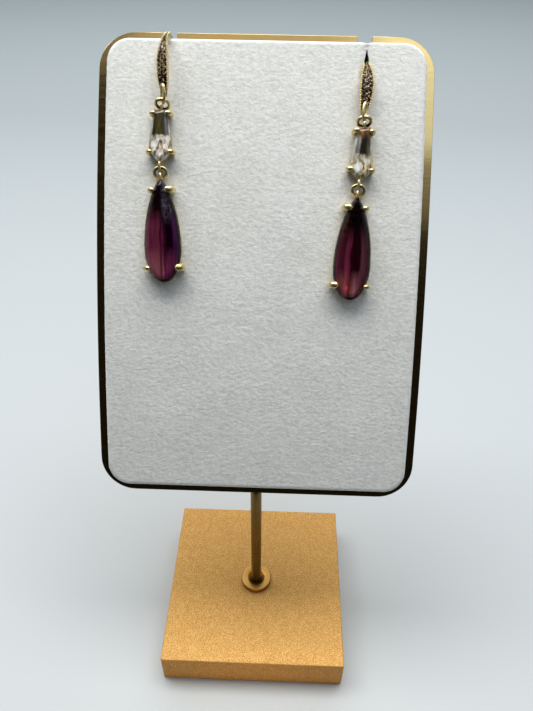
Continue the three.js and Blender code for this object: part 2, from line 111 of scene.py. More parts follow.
def outward(shell):
    # the signed volume of all faces says which way they point
    verts, quads, tris = shell
    faces = np.vstack([quads[:, [0, 1, 2]], quads[:, [0, 2, 3]], tris])
    a, b, c = (verts[faces[:, k]] for k in range(3))
    if np.einsum("ij,ij->i", a, np.cross(b, c)).sum() < 0:
        return verts, quads[:, ::-1], tris[:, ::-1]
    return shell


def joinShells(shells):
    counts = np.cumsum([0] + [len(shell[0]) for shell in shells])
    verts = np.vstack([shell[0] for shell in shells])
    quads = np.vstack([shell[1] + start for shell, start in zip(shells, counts)])
    tris = np.vstack([shell[2] + start for shell, start in zip(shells, counts)])
    return verts, quads, tris


def placed(shell, origin, turn):
    return shell[0] @ np.asarray(turn).T + origin, shell[1], shell[2]


def copies(shell, origins, turns, sizes):
    # one joined shell with a turned and scaled copy at each origin
    verts, quads, tris = shell
    count = len(origins)
    spread = np.einsum("nij,nvj->nvi", turns, verts[None] * sizes[:, None, None]) + origins[:, None]
    step = (np.arange(count) * len(verts))[:, None, None]
    return spread.reshape(-1, 3), (quads[None] + step).reshape(-1, 4), (tris[None] + step).reshape(-1, 3)


def units(rows):
    return rows / np.linalg.norm(rows, axis=1)[:, None]


def alongPath(path, axis, section, closed=False):
    # a section of [along axis, out of the path] pairs, or one for each point, carried along a flat path
    axis = np.array(axis, float)
    section = np.broadcast_to(section, (len(path), *section.shape[1:]))
    ahead = np.roll(path, -1, 0) - np.roll(path, 1, 0)
    if not closed:
        ahead[0], ahead[-1] = path[1] - path[0], path[-1] - path[-2]
    out = units(np.cross(axis, ahead))
    points = path[:, None] + section[..., :1] * axis + section[..., 1:] * out[:, None]
    return outward(gridShell(points, closed, True, not closed))


def fullTurn(count):
    return np.linspace(0, 2 * np.pi, count, endpoint=False)


def circleSection(radius, count):
    turn = fullTurn(count)
    return np.stack([np.outer(radius, np.cos(turn)), np.outer(radius, np.sin(turn))], -1)


def lathe(profile, sides):
    # radius and height pairs turned about the upright axis, as a closed ring
    turn = fullTurn(sides)
    r, z = np.array(profile, float).T
    points = np.stack([np.outer(np.cos(turn), r), np.outer(np.sin(turn), r), np.tile(z, (sides, 1))], -1)
    return outward(gridShell(points, True, True))


def ball(sides, rings):
    # rings of points between two poles, at equal angles
    lift = np.linspace(-np.pi / 2, np.pi / 2, rings + 2)[1:-1]
    turn = fullTurn(sides)
    points = np.stack([np.outer(np.cos(lift), np.cos(turn)), np.outer(np.cos(lift), np.sin(turn)),
                       np.tile(np.sin(lift)[:, None], (1, sides))], -1)
    verts, quads, tris = gridShell(points, False, True, True)
    verts[-2:] = [[0, 0, -1], [0, 0, 1]]
    return outward((verts, quads, tris))


def curveAt(at, places, curve):
    # a curve's points at some places, from those it has at its own places
    return np.stack([np.interp(at, places, curve[:, k]) for k in range(3)], -1)


def evenly(curve, count):
    # points at equal steps along a curve
    length = np.concatenate([[0], np.cumsum(np.linalg.norm(np.diff(curve, axis=0), axis=1))])
    return curveAt(np.linspace(0, length[-1], count), length, curve)


def bezier(points, count):
    # a cubic curve through its control points
    t = np.linspace(0, 1, 400)[:, None]
    p = np.array(points, float)
    curve = (1 - t) ** 3 * p[0] + 3 * (1 - t) ** 2 * t * p[1] + 3 * (1 - t) * t ** 2 * p[2] + t ** 3 * p[3]
    return evenly(curve, count)


def smoothPath(points, count):
    # a curve that passes through each point with the slope of its neighbours
    p = np.array(points, float)
    p = np.vstack([2 * p[0] - p[1], p, 2 * p[-1] - p[-2]])
    t = np.linspace(0, len(p) - 3 - 1e-9, 16 * len(p))
    k = t.astype(int)
    u = (t - k)[:, None]
    a, b, c, d = p[k], p[k + 1], p[k + 2], p[k + 3]
    bent = (2 * a - 5 * b + 4 * c - d) * u ** 2 + (3 * b - a - 3 * c + d) * u ** 3
    return evenly(0.5 * (2 * b + (c - a) * u + bent), count)


# meshes

def addObject(name, data):
    thing = bpy.data.objects.new(name, data)
    bpy.context.scene.collection.objects.link(thing)
    return thing


def setPlace(thing, place, turn):
    whole = np.eye(4)
    whole[:3, :3], whole[:3, 3] = turn, np.array(place) * mm
    thing.matrix_world = Matrix(whole.tolist())


def meshObject(name, shell):
    verts, quads, tris = (np.asarray(part) for part in shell)
    mesh = bpy.data.meshes.new(name)
    mesh.from_pydata((verts * mm).tolist(), [], quads.tolist() + tris.tolist())
    return addObject(name, mesh)


def newPiece(name, shell, material, replaced=(), sharp=None):
    # smooth faces split at edges over the sharp angle, or flat facets where sharp is 0
    piece = meshObject(name, shell)
    mesh = piece.data
    mesh.polygons.foreach_set("use_smooth", np.full(len(mesh.polygons), sharp != 0))
    mesh.update()
    if sharp:
        mesh.set_sharp_from_angle(angle=math.radians(sharp))
    mesh.materials.append(material)
    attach(piece, "root")
    if replaced:
        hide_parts(*replaced)
    return piece


def applied(piece):
    # the piece's modifiers go into its mesh
    graph = bpy.context.evaluated_depsgraph_get()
    mesh = bpy.data.meshes.new_from_object(piece.evaluated_get(graph))
    piece.modifiers.clear()
    piece.data = mesh


def carve(piece, shell):
    # cuts a closed shell out of a piece
    cutter = meshObject("cutter", shell)
    cut = piece.modifiers.new("cut", "BOOLEAN")
    cut.operation, cut.solver, cut.object = "DIFFERENCE", "EXACT", cutter
    applied(piece)
    bpy.data.objects.remove(cutter)


def refinish(piece, material, sharp):
    # a carved piece gets its one material again, and edges that are sharp over the angle
    piece.data.set_sharp_from_angle(angle=math.radians(sharp))
    piece.data.materials.clear()
    piece.data.materials.append(material)


def meshPoints(piece):
    spots = np.empty(len(piece.data.vertices) * 3)
    piece.data.vertices.foreach_get("co", spots)
    return spots.reshape(-1, 3) / mm


def giveValues(piece, name, domain, values):
    piece.data.attributes.new(name, "FLOAT", domain).data.foreach_set("value", values)


# materials

sockets = {"color": "Base Color", "metal": "Metallic", "rough": "Roughness", "ior": "IOR",
           "specular": "Specular IOR Level", "sheen": "Sheen Weight", "sheenRough": "Sheen Roughness",
           "glass": "Transmission Weight"}


def newMaterial(name, **values):
    material = bpy.data.materials.new(name)
    material.use_nodes = True
    shader = material.node_tree.nodes["Principled BSDF"]
    for key, value in values.items():
        shader.inputs[sockets[key]].default_value = (*value, 1) if isinstance(value, tuple) else value
    return material, material.node_tree, shader


def addNode(tree, kind, **values):
    # each value is a setting of the node or goes to its input of that name, and a socket is linked there
    node = tree.nodes.new("ShaderNode" + kind)
    for key, value in values.items():
        if isinstance(value, bpy.types.NodeSocket):
            tree.links.new(value, node.inputs[key.replace("_", " ")])
        elif hasattr(node, key):
            setattr(node, key, value)
        else:
            node.inputs[key.replace("_", " ")].default_value = value
    return node


def coordinates(tree, stretch=(1, 1, 1)):
    place = addNode(tree, "TexCoord").outputs["Object"]
    return addNode(tree, "Mapping", Scale=stretch, Vector=place).outputs["Vector"]


def noise(tree, size, detail=3.0, stretch=(1, 1, 1), roughness=0.5):
    # size is the width of the pattern's patches in millimetres
    return addNode(tree, "TexNoise", Scale=1 / (size * mm), Detail=detail, Roughness=roughness,
                   Vector=coordinates(tree, stretch)).outputs["Fac"]


def ramp(tree, value, stops):
    node = addNode(tree, "ValToRGB", Fac=value)
    elements = node.color_ramp.elements
    while len(elements) < len(stops):
        elements.new(0.5)
    for element, (at, color) in zip(elements, stops):
        element.position = at
        element.color = (*color, 1) if isinstance(color, tuple) else (color, color, color, 1)
    return node.outputs["Color"]


def mixColors(tree, factor, a, b, kind="MIX"):
    node = tree.nodes.new("ShaderNodeMix")
    node.data_type, node.blend_type = "RGBA", kind
    for socket, value in zip((node.inputs[0], node.inputs[6], node.inputs[7]), (factor, a, b)):
        if isinstance(value, bpy.types.NodeSocket):
            tree.links.new(value, socket)
        else:
            socket.default_value = (*value, 1) if isinstance(value, tuple) else value
    return node.outputs[2]


def times(tree, a, b):
    return mixColors(tree, 1.0, a, b, "MULTIPLY")


def surfaceValue(tree, name):
    # a value that the piece's mesh carries at its points or faces
    return addNode(tree, "Attribute", attribute_name=name).outputs["Fac"]


def split(tree, vector):
    return addNode(tree, "SeparateXYZ", Vector=vector).outputs


def addBump(tree, shader, height, depth, strength):
    node = addNode(tree, "Bump", Strength=strength, Distance=depth * mm, Height=height)
    tree.links.new(node.outputs["Normal"], shader.inputs["Normal"])


def paint(tree, shader, color, rough=None):
    tree.links.new(color, shader.inputs["Base Color"])
    if rough:
        tree.links.new(rough, shader.inputs["Roughness"])


def fadeIn(tree, value, places):
    # 0 below the first place and 1 above the second
    return ramp(tree, value, [(places[0], 0.0), (places[1], 1.0)])


def suedeMaterial():
    # slit is the near-black colour of the painted shade inside the slits
    look = {"light": (0.85, 0.855, 0.825), "dark": (0.68, 0.69, 0.66), "slit": (0.006, 0.006, 0.005),
            "napSize": 0.75, "patchSize": 9.0, "fuzzSize": 0.16, "bump": 0.2}
    material, tree, shader = newMaterial("suede", rough=0.95, specular=0.15, sheen=0.25, sheenRough=0.5)
    nap = noise(tree, look["napSize"], 3.0, (0.75, 1, 1), 0.66)
    patches = noise(tree, look["patchSize"], 2.0)
    fuzz = noise(tree, look["fuzzSize"], 2.0)
    base = ramp(tree, nap, [(0.3, look["dark"]), (0.62, look["light"])])
    soft = ramp(tree, patches, [(0.3, (0.93, 0.93, 0.92)), (0.7, (1.0, 1.0, 1.0))])
    color = times(tree, base, soft)
    # painted shade: the pad turns near black where deep marks the inside of a slit
    paint(tree, shader, mixColors(tree, surfaceValue(tree, "deep"), color, look["slit"]))
    height = mixColors(tree, 0.4, ramp(tree, nap, [(0.2, 0.0), (0.8, 1.0)]), fuzz)
    addBump(tree, shader, height, look["bump"], 0.8)
    return material


def footMaterial():
    look = {"color": (0.42, 0.212, 0.04), "light": (0.72, 0.43, 0.152), "flake": 0.28, "blotch": 1.6}
    material, tree, shader = newMaterial("mattGoldPaint", metal=0.12, rough=0.6, specular=0.2)
    flakes = noise(tree, look["flake"], 2.0, (1, 1, 1), 0.7)
    blotches = noise(tree, look["blotch"], 3.0)
    speckle = ramp(tree, flakes, [(0.4, look["color"]), (0.66, look["light"])])
    tone = ramp(tree, blotches, [(0.3, (0.9, 0.9, 0.88)), (0.7, (1.0, 1.0, 1.0))])
    color = times(tree, speckle, tone)
    paint(tree, shader, color, ramp(tree, flakes, [(0.35, 0.8), (0.72, 0.4)]))
    addBump(tree, shader, flakes, 0.05, 0.7)
    return material


def brushedMaterial(name, color, dark, rough, stretch, size=0.5):
    material, tree, shader = newMaterial(name, metal=1.0, rough=rough)
    lines = noise(tree, size, 3.0, stretch, 0.6)
    spots = noise(tree, 4.0, 3.0)
    tone = mixColors(tree, spots, dark, color)
    fine = ramp(tree, lines, [(0.3, (0.86, 0.86, 0.86)), (0.7, (1.0, 1.0, 1.0))])
    paint(tree, shader, times(tree, tone, fine),
          ramp(tree, lines, [(0.3, rough * 0.8), (0.7, rough * 1.25)]))
    addBump(tree, shader, lines, 0.006, 0.3)
    return material


def jewelMaterial():
    look = {"color": (0.84, 0.70, 0.38), "worn": (0.60, 0.46, 0.19), "innerShade": (0.03, 0.018, 0.008),
            "wornSize": 0.8, "fineSize": 0.12}
    material, tree, shader = newMaterial("paleGold", metal=0.9, rough=0.3)
    worn = noise(tree, look["wornSize"], 3.0)
    fine = noise(tree, look["fineSize"], 2.0)
    tone = ramp(tree, worn, [(0.3, look["worn"]), (0.6, look["color"])])
    # painted shade: near-black brown where the mesh's inner value is high, on the rings' inner sides
    paint(tree, shader, mixColors(tree, surfaceValue(tree, "inner"), tone, look["innerShade"]),
          ramp(tree, fine, [(0.3, 0.2), (0.8, 0.38)]))
    addBump(tree, shader, fine, 0.012, 0.4)
    return material


def stoneCoordinates(tree):
    place = addNode(tree, "UVMap")
    place.uv_map = "cut"
    parts = split(tree, place.outputs["UV"])
    return parts["X"], parts["Y"]


def wavy(tree, value, size, amount):
    # a value pushed to and fro by a soft noise
    drift = noise(tree, size, 2.0)
    push = addNode(tree, "MapRange", To_Min=-amount, To_Max=amount, Value=drift)
    total = addNode(tree, "Math", operation="ADD")
    tree.links.new(value, total.inputs[0])
    tree.links.new(push.outputs["Result"], total.inputs[1])
    return total.outputs[0]


def stoneColor(tree, look):
    # bands of the stone's tint with painted reflections and shade, across the stone for its head, body and
    # toe, each fading into the next along its length
    across, along = stoneCoordinates(tree)
    across = wavy(tree, across, 2.5, look["drift"])
    along = wavy(tree, along, 0.9, 1.6 * look["drift"])
    head, body, toe = (ramp(tree, across, look[part]) for part in ("head", "body", "toe"))
    mottle = ramp(tree, noise(tree, 0.55, 3.0, (1, 0.6, 0.6)), [(0.42, 0.3), (0.6, 1.5)])
    head = mixColors(tree, look["mottle"], head, mottle, "MULTIPLY")
    lower = mixColors(tree, fadeIn(tree, along, look["toeFrom"]), body, toe)
    color = mixColors(tree, fadeIn(tree, along, look["bodyFrom"]), head, lower)
    return across, along, color


def stonePaintedGlint(tree, look, color, across, along):
    # a small painted glint of light inside the stone
    at, size, glintColor = look["paintedGlint"]
    spread = addNode(tree, "CombineXYZ", X=across, Y=along)
    place = addNode(tree, "Mapping", Location=(-at[0] / size[0], -at[1] / size[1], 0),
                    Scale=(1 / size[0], 1 / size[1], 1), Vector=spread.outputs[0])
    far = addNode(tree, "VectorMath", operation="LENGTH", Vector=place.outputs[0])
    return mixColors(tree, ramp(tree, far.outputs["Value"], [(0.35, 1.0), (1.0, 0.0)]), color, glintColor)


def purpleMaterial(name, look):
    # the stone's bands under fine streaks, with painted shade darkening its rims and the end of its toe
    material, tree, shader = newMaterial(name, rough=0.06, ior=1.5, specular=0.32)
    across, along, color = stoneColor(tree, look)
    streaks = noise(tree, 0.7, 3.0, (1, 0.12, 0.12))
    color = times(tree, color, ramp(tree, streaks, [(0.3, 0.62), (0.7, 1.1)]))
    # painted shade: near black at the very end of the toe
    color = times(tree, color, ramp(tree, along, [(0.962, 1.0), (0.985, 0.03)]))
    paint(tree, shader, stonePaintedGlint(tree, look, color, across, along))
    return material


def facetSparkleCells(tree, look, size, stretch):
    cells = addNode(tree, "TexVoronoi", Scale=1 / (size * mm), Vector=coordinates(tree, stretch))
    return ramp(tree, cells.outputs["Color"], look["facets"])


def clearMaterial(name, look):
    # the stone's bands under fine streaks, and cells of painted sparkle and shade in its lower part
    material, tree, shader = newMaterial(name, rough=0.05, ior=1.5, specular=0.35, glass=0.1)
    across, along, color = stoneColor(tree, look)
    streaks = noise(tree, 0.5, 3.0, (1, 0.12, 0.12))
    color = times(tree, color, ramp(tree, streaks, [(0.35, 0.45), (0.65, 1.15)]))
    facets = mixColors(tree, 0.35, facetSparkleCells(tree, look, 0.72, (1, 0.7, 0.7)),
                       facetSparkleCells(tree, look, 0.42, (1, 0.5, 0.5)))
    # painted sparkle and shade: the facet cells take over the stone's lower part
    color = mixColors(tree, fadeIn(tree, along, look["facetsFrom"]), color, facets)
    paint(tree, shader, stonePaintedGlint(tree, look, color, across, along))
    return material


def seedMaterial():
    # near-black to dark red-brown tones of the stones, and a painted glint of cream light at the highest
    # tones
    look = [(0.0, (0.004, 0.002, 0.002)), (0.5, (0.022, 0.009, 0.004)), (0.82, (0.075, 0.026, 0.012)),
            (0.92, (0.95, 0.72, 0.42))]
    material, tree, shader = newMaterial("smokySeeds", rough=0.12, ior=1.5, specular=0.14)
    paint(tree, shader, ramp(tree, surfaceValue(tree, "tone"), look))
    return material


suede = suedeMaterial()
footPaint = footMaterial()
collarGold = brushedMaterial("turnedCollar", (0.46, 0.26, 0.075), (0.34, 0.18, 0.045), 0.36, (1, 1, 1), 0.3)
plateGold = brushedMaterial("brushedPlate", (0.62, 0.44, 0.18), (0.52, 0.36, 0.14), 0.17, (0.06, 1, 1))
postGold = brushedMaterial("darkPost", (0.2, 0.145, 0.05), (0.12, 0.08, 0.02), 0.3, (1, 1, 0.05))
paleGold = jewelMaterial()
seedStone = seedMaterial()
print("materials made")


# the stand

def buildFoot():
    # rounded squares in layers: a quarter circle at the underside's edge and one at the top's edge
    quarter = np.linspace(0, np.pi / 2, 6)
    edge, corner = foot["edge"], foot["corner"]
    inset = np.concatenate([[3], edge * (1 - np.sin(quarter)), edge * (1 - np.cos(quarter)), [3]])
    level = np.concatenate([[0], edge * (1 - np.cos(quarter)),
                            foot["height"] - edge * (1 - np.sin(quarter)), [foot["height"]]])
    turn = fullTurn(40) + np.pi / 40
    centre = np.sign([np.cos(turn), np.sin(turn)]) * (foot["side"] / 2 - corner)
    reach = np.maximum(corner - inset, 0.01)[:, None]
    centre = centre - np.sign(centre) * (inset - corner + reach[:, 0])[:, None, None]
    x, y = centre[:, 0] + reach * np.cos(turn), centre[:, 1] + reach * np.sin(turn)
    points = np.stack([x, y, np.broadcast_to(level[:, None], x.shape)], -1)
    shell = outward(gridShell(points, False, True, True))
    newPiece("footBlock", shell, footPaint, ["base_block"], sharp=35)


def buildCollar():
    size = {"outer": 4.35, "height": 1.5, "round": 0.3, "recess": 2.45, "depth": 0.6, "play": 0.12,
            "lip": 0.12}
    top = foot["height"] + size["height"]
    bore = post["radius"] + size["play"]
    shoulder = [(size["outer"] - size["round"] * (1 - math.cos(a)), top - size["round"] * (1 - math.sin(a)))
                for a in np.linspace(0, np.pi / 2, 6)]
    profile = [(bore, foot["height"]), (size["outer"], foot["height"]), *shoulder,
               (size["recess"] + size["lip"], top), (size["recess"], top - size["lip"] / 2),
               (bore, top - size["depth"])]
    newPiece("turnedCollar", lathe(profile, 96), collarGold, ["post_collar"], sharp=30)


def buildPost():
    bend, touch = post["bendRadius"], panel["thickness"] + post["radius"]
    corner = panel["foot"] - backLine * math.sin(lean) - post["bendBelow"] * math.cos(lean)
    tangent = bend * math.tan(lean / 2)
    turn = np.linspace(0, lean, 12)
    bent = np.stack([0 * turn, bend * (1 - np.cos(turn)), corner - tangent + bend * np.sin(turn)], -1)
    s = np.linspace(tangent, post["grip"], 24)[1:]
    line = np.interp(s, [tangent, tangent + 6], [backLine, touch])
    path = np.vstack([[[0, 0, foot["height"]]], [[0, 0, 30.0]], bent, onPanel(0 * s, s, -line)])
    rod = alongPath(path, (1, 0, 0), circleSection([post["radius"]], 40))
    newPiece("roundPost", rod, postGold, ["post"], sharp=40)
    side = np.linspace(post["grip"] * seam["from"], post["grip"] - seam["short"], 40)
    arch = np.sin(np.linspace(0.02, np.pi - 0.02, len(side)))
    swell = seam["swell"] * np.sqrt(np.clip(arch, 0, 1)) + seam["thin"]
    beads = []
    for x in (-seam["apart"], seam["apart"]):
        path = onPanel(x + 0 * side, side, -panel["thickness"] - seam["above"])
        beads.append(alongPath(path, (1, 0, 0), circleSection(swell, 12)))
    newPiece("solderSeam", joinShells(beads), postGold, sharp=50)


def halfOutline(inset, radius, rows, steps):
    # half widths and heights of a rounded rectangle on the panel, from its bottom edge to its top
    half = panel["width"] / 2 - inset
    low, high = inset, panel["height"] - inset
    arc = np.linspace(0, np.pi / 2, steps)
    radius = radius - inset
    straight = np.linspace(low + radius, high - radius, rows + 1)[1:-1]
    x = np.concatenate([half - radius * (1 - np.sin(arc)), 0 * straight + half,
                        half - radius * (1 - np.cos(arc))])
    s = np.concatenate([low + radius * (1 - np.cos(arc)), straight, high - radius * (1 - np.sin(arc))])
    return x, s


notch = {"width": 3.4, "offset": 22.6, "depth": 10.4}
notchBottom = panel["height"] - notch["depth"]


def slotShell(x, bottom, top, widthLow, widthHigh, back=-4.0, front=6.0):
    # a slot cutter: round at the bottom, with sides that run from widthLow to widthHigh at its top
    arc = np.linspace(np.pi, 2 * np.pi, 12)
    r = widthLow / 2
    side = np.concatenate([[-widthHigh / 2], r * np.cos(arc), [widthHigh / 2]])
    level = np.concatenate([[top], bottom + r + r * np.sin(arc), [top]])
    points = np.stack([onPanel(x + side, level, back), onPanel(x + side, level, front)])
    return outward(gridShell(points, False, True, True))


def buildPlate():
    # the rounded rectangle's outline in two layers, closed by strips across it
    x, s = halfOutline(0, panel["corner"], 24, 14)
    outline = lambda h: np.vstack([onPanel(x, s, h), onPanel(-x[::-1], s[::-1], h)])
    verts, quads, tris = gridShell(np.stack([outline(-panel["thickness"]), outline(0)]), False, True)
    count = len(x)
    row = np.arange(count - 1)
    face = np.stack([row, row + 1, 2 * count - 2 - row, 2 * count - 1 - row], -1)
    shell = outward((verts, np.vstack([quads, face[:, ::-1], face + 2 * count]), tris))
    plate = newPiece("goldPlate", shell, plateGold, ["back_plate"])
    carve(plate, joinShells([slotShell(side * notch["offset"], notchBottom, panel["height"] + 4,
                                       notch["width"], notch["width"]) for side in (-1, 1)]))
    edge = plate.modifiers.new("edge", "BEVEL")
    edge.width, edge.segments = 0.16 * mm, 2
    edge.limit_method, edge.angle_limit = "ANGLE", math.radians(50)
    applied(plate)
    refinish(plate, plateGold, 20)


pad = {"corner": 7.3, "margin": 2.0, "back": 0.3, "front": 2.0, "edge": 1.15, "wall": 0.5,
       "nap": 0.018, "wobble": 0.05, "dipFrom": 104.0, "dipWidth": 1.3, "dent": 0.35, "dentWidth": 0.55,
       "round": 2.2, "past": 0.4, "crowding": 0.35, "crowdArc": 0.9}
slits = [{"x": -22.55, "low": notchBottom, "high": 106.0, "width": 0.25, "dip": 0.1},
         {"x": 22.9, "low": notchBottom, "high": 106.4, "width": 2.3, "dip": 0.55}]


def napWaves(x, s, seed=7):
    # short waves of many directions added together, strongest at about a millimetre
    random = np.random.default_rng(seed)
    total = np.zeros(np.broadcast_shapes(x.shape, s.shape))
    for size in np.geomspace(0.9, 5.0, 26):
        angle, shift = random.uniform(0, np.pi), random.uniform(0, 2 * np.pi, 2)
        wave = np.sin((x * math.cos(angle) + s * math.sin(angle)) * 2 * np.pi / size + shift[0])
        drift = np.sin((s * math.cos(angle) - x * math.sin(angle)) * 2 * np.pi / (3 * size) + shift[1])
        total += wave * drift
    return total / 5


def padHeight(x, s):
    # level in the middle, falling in a rounded step at the outline, dented along each slit
    half, tall = panel["width"] / 2 - pad["margin"], panel["height"] / 2 - pad["margin"]
    radius = pad["corner"] - pad["margin"]
    away = np.stack([np.abs(x) - (half - radius), np.abs(s - panel["height"] / 2) - (tall - radius)])
    outside = np.linalg.norm(np.maximum(away, 0), axis=0) + np.minimum(away.max(0), 0) - radius
    share = np.clip(1 + outside / pad["edge"], 0, 1)
    low = pad["back"] + pad["wall"]
    height = low + (pad["front"] - low) * np.sqrt(np.clip(1 - share ** pad["round"], 0, 1))
    height += pad["nap"] * napWaves(x, s) * (1 - share)
    for slit in slits:
        over = np.clip(np.maximum(s - slit["high"] - pad["past"], slit["low"] - s), 0, None)
        half = slit["width"] / 2 * np.clip((slit["high"] - s) / (slit["high"] - slit["low"]), 0, 1)
        near = np.hypot(np.clip(np.abs(x - slit["x"]) - half, 0, None), over)
        height -= pad["dent"] * np.exp(-(near / pad["dentWidth"]) ** 2)
    return height


def markSlitShade(piece):
    # one where a point lies well below the pad's front inside a slit, for the painted shade in there
    x, s, h = panelPlace(meshPoints(piece))
    deep = np.zeros(len(x))
    for slit in slits:
        near = (np.abs(x - slit["x"]) < 2) & (s > slit["low"] - 2) & (s < slit["high"] + 0.2)
        deep = np.maximum(deep, near * np.clip((padHeight(x, s) - h - 0.05) / 0.3, 0, 1))
    giveValues(piece, "deep", "POINT", deep)


def buildPad():
    # rows across the pad raised to padHeight, closer together at their ends, with a wall round them and
    # a flat back of strips
    x, s = halfOutline(pad["margin"], pad["corner"], 230, 26)
    rows, columns = len(x), 176
    even = np.linspace(-1, 1, columns)
    crowded = np.sin(even * np.pi / 2 * pad["crowdArc"]) / math.sin(np.pi / 2 * pad["crowdArc"])
    u = pad["crowding"] * crowded + (1 - pad["crowding"]) * even
    x = x + pad["wobble"] * napWaves(0 * s, s, 11)
    across, up = x[:, None] * u, np.broadcast_to(s[:, None], (rows, columns))
    top = panel["height"] - pad["margin"]
    rise = np.clip((up - pad["dipFrom"]) / (top - pad["dipFrom"]), 0, 1) ** 2
    dips = [slit["dip"] * np.exp(-((across - slit["x"]) / pad["dipWidth"]) ** 2) for slit in slits]
    up = up - sum(dips) * rise
    front = gridShell(onPanel(across, up, padHeight(across, up)))
    index = np.arange(rows * columns).reshape(rows, columns)
    ring = np.concatenate([index[0], index[1:, -1], index[-1, -2::-1], index[-2:0:-1, 0]])
    count, offset = len(ring), rows * columns
    place = np.arange(count)
    hem = onPanel(across.ravel()[ring], up.ravel()[ring], pad["back"])
    side = np.stack([ring, place + offset, np.roll(place, -1) + offset, np.roll(ring, -1)], -1)
    row = np.arange(1, rows - 2)
    strips = np.stack([count - row, columns - 1 + row, columns + row, count - row - 1], -1)
    low = np.arange(columns)
    high = np.arange(columns + rows - 3, count - rows + 1)
    first = np.stack([low, low + 1, 0 * low + count - 1], -1)
    last = np.stack([0 * high + count - rows + 2, high, high + 1], -1)
    ends = np.vstack([first, last])
    shell = outward((np.vstack([front[0], hem]), np.vstack([front[1], side, strips[:, ::-1] + offset]),
                     ends[:, ::-1] + offset))
    piece = newPiece("suedePad", shell, suede, ["display_pad"], sharp=60)
    for slit in slits:
        carve(piece, slotShell(slit["x"], slit["low"], slit["high"], slit["width"], 0.06,
                               pad["back"] + 0.15))
    piece.data.polygons.foreach_set("use_smooth", np.full(len(piece.data.polygons), True))
    refinish(piece, suede, 60)
    markSlitShade(piece)


buildFoot()
buildCollar()
buildPost()
buildPlate()
print("stand built")
buildPad()
print("pad built")


# the earrings: sizes are the solids' own

hook = {"wire": 0.84, "over": 5, "bulge": 7.8, "belly": 9, "drop": 14.8, "tail": 2.9,
        "back": 4.4, "backDrop": 13.5, "depth": 1.4, "tip": (0.15, 12), "flatFrom": 14, "flat": 4.5,
        "wireEnd": [0.55, 0.85, 0.97]}
# along the bar: the share of its length, then the shares of its width and depth there
barShares = np.array([[0, 0.323, 0.6], [0.2, 0.42, 0.72], [0.35, 0.6, 0.85], [0.5, 0.9, 0.95],
                      [0.62, 1, 1], [0.76, 0.95, 1], [0.88, 0.72, 0.8], [1, 0.36, 0.5]])
eye = {"wire": 0.56, "length": 3.6, "below": 14.35, "out": 5.05, "tilt": math.radians(13.9), "play": 0.2,
       "long": 4.5, "wide": 2.4, "thick": 0.66, "drop": 0.45, "turn": math.radians(38)}
loop = {"wire": 0.4, "diameter": 1.6, "out": 0.4, "sink": 0.78, "play": 0.12}
bail = {"wire": 0.68, "long": 2.6, "wide": 1.7, "out": 0.5, "foot": 0.36, "sink": 0.95,
        "turn": math.pi / 2}
tailEye = {"wire": 0.68, "long": 2.6, "wide": 1.8, "out": 0.75, "foot": 1.05, "sink": 0.3,
           "turn": math.radians(72)}
upperRing = {"diameter": 3.45, "wire": 0.52, "across": 3.1, "thick": 0.74, "deep": 1.25, "lower": 0.85}
lowerRing = {"diameter": 3.3, "wire": 0.52, "across": 2.95, "thick": 0.74, "deep": 1.25}
seat = {"depth": 1.5, "wall": 0.26, "below": 0.3, "flare": 0.1, "under": 0.08, "gap": 0.3, "pad": 1.7}
clearCut = {"length": 11.8, "width": 4.95, "shoulder": 0.72, "inset": 0.95, "girdle": 0.2, "crown": 0.95,
            "keel": 1.1, "keelFrom": 0.4,
            "flank": lambda u: 1 - 0.45 * u ** 1.5, "toe": lambda v: (1 - v * v) ** 0.8}
purpleCut = {"length": 23.3, "width": 8.3, "shoulder": 0.67, "inset": 1.25, "girdle": 0.2, "crown": 0.95,
             "keel": 1.15, "keelFrom": 0.25,
             "flank": lambda u: np.maximum((1 - u * u) ** 0.75, 0.09), "toe": lambda v: np.sqrt(1 - v * v)}
claw = {"over": 0.3, "clearance": 0.06}
clearClaws = {"diameter": 0.95, "inner": 1.2, "at": [0.1, 0.82]}
purpleClaws = {"diameter": 1.15, "inner": 1.4, "at": [0.11, 0.86]}
padTop = panel["height"] - pad["margin"]
# angles in degrees; swings and stoneRolls are the clear stone's and then the purple stone's
earringSides = [
    {"name": "left", "side": -1, "barWidth": 2.65, "bead": 0.19, "inward": 0.3,
     "s": padTop + hook["wire"] / 2 + 0.3, "h": 0.4, "roll": 0, "yaw": -7.2, "tip": 2.8,
     "swings": (-0.55, 0.05), "stoneRolls": (0.3, 2.95)},
    {"name": "right", "side": 1, "barWidth": 3.1, "bead": 0.24, "inward": 0.35,
     "s": notchBottom + 4.6, "h": -3.4, "roll": -4, "yaw": 8.1, "tip": -12.7,
     "swings": (0.2, -0.35), "stoneRolls": (-3.2, -2.46)},
]
barCurve = [(0, 0, 0), (0, 0, hook["over"]), (0, -hook["belly"], hook["bulge"]),
            (0, -hook["drop"], hook["tail"])]
backCurve = [(0, -0.4 * hook["backDrop"], -hook["back"]), (0, -0.1 * hook["backDrop"], -hook["back"]),
             (0, 0, -0.75 * hook["back"]), (0, 0, 0)]
beading = {"from": 0.1, "to": 0.985, "step": 0.48 / 17.2, "inset": 0.1, "lift": 0.05}
seedField = {"pitch": 0.92, "pairFrom": 1.35, "tripleFrom": 2.05, "from": 0.07, "to": 0.975, "stone": 0.58,
             "lift": 0.02, "claw": 0.1, "clawLift": 0.06, "clawAfter": 0.53 / 17.2, "clawSpread": 0.45}
seedShadeBed = {"from": 0.05, "to": 0.985, "inset": 0.26, "bottom": -0.1, "top": 0.02}


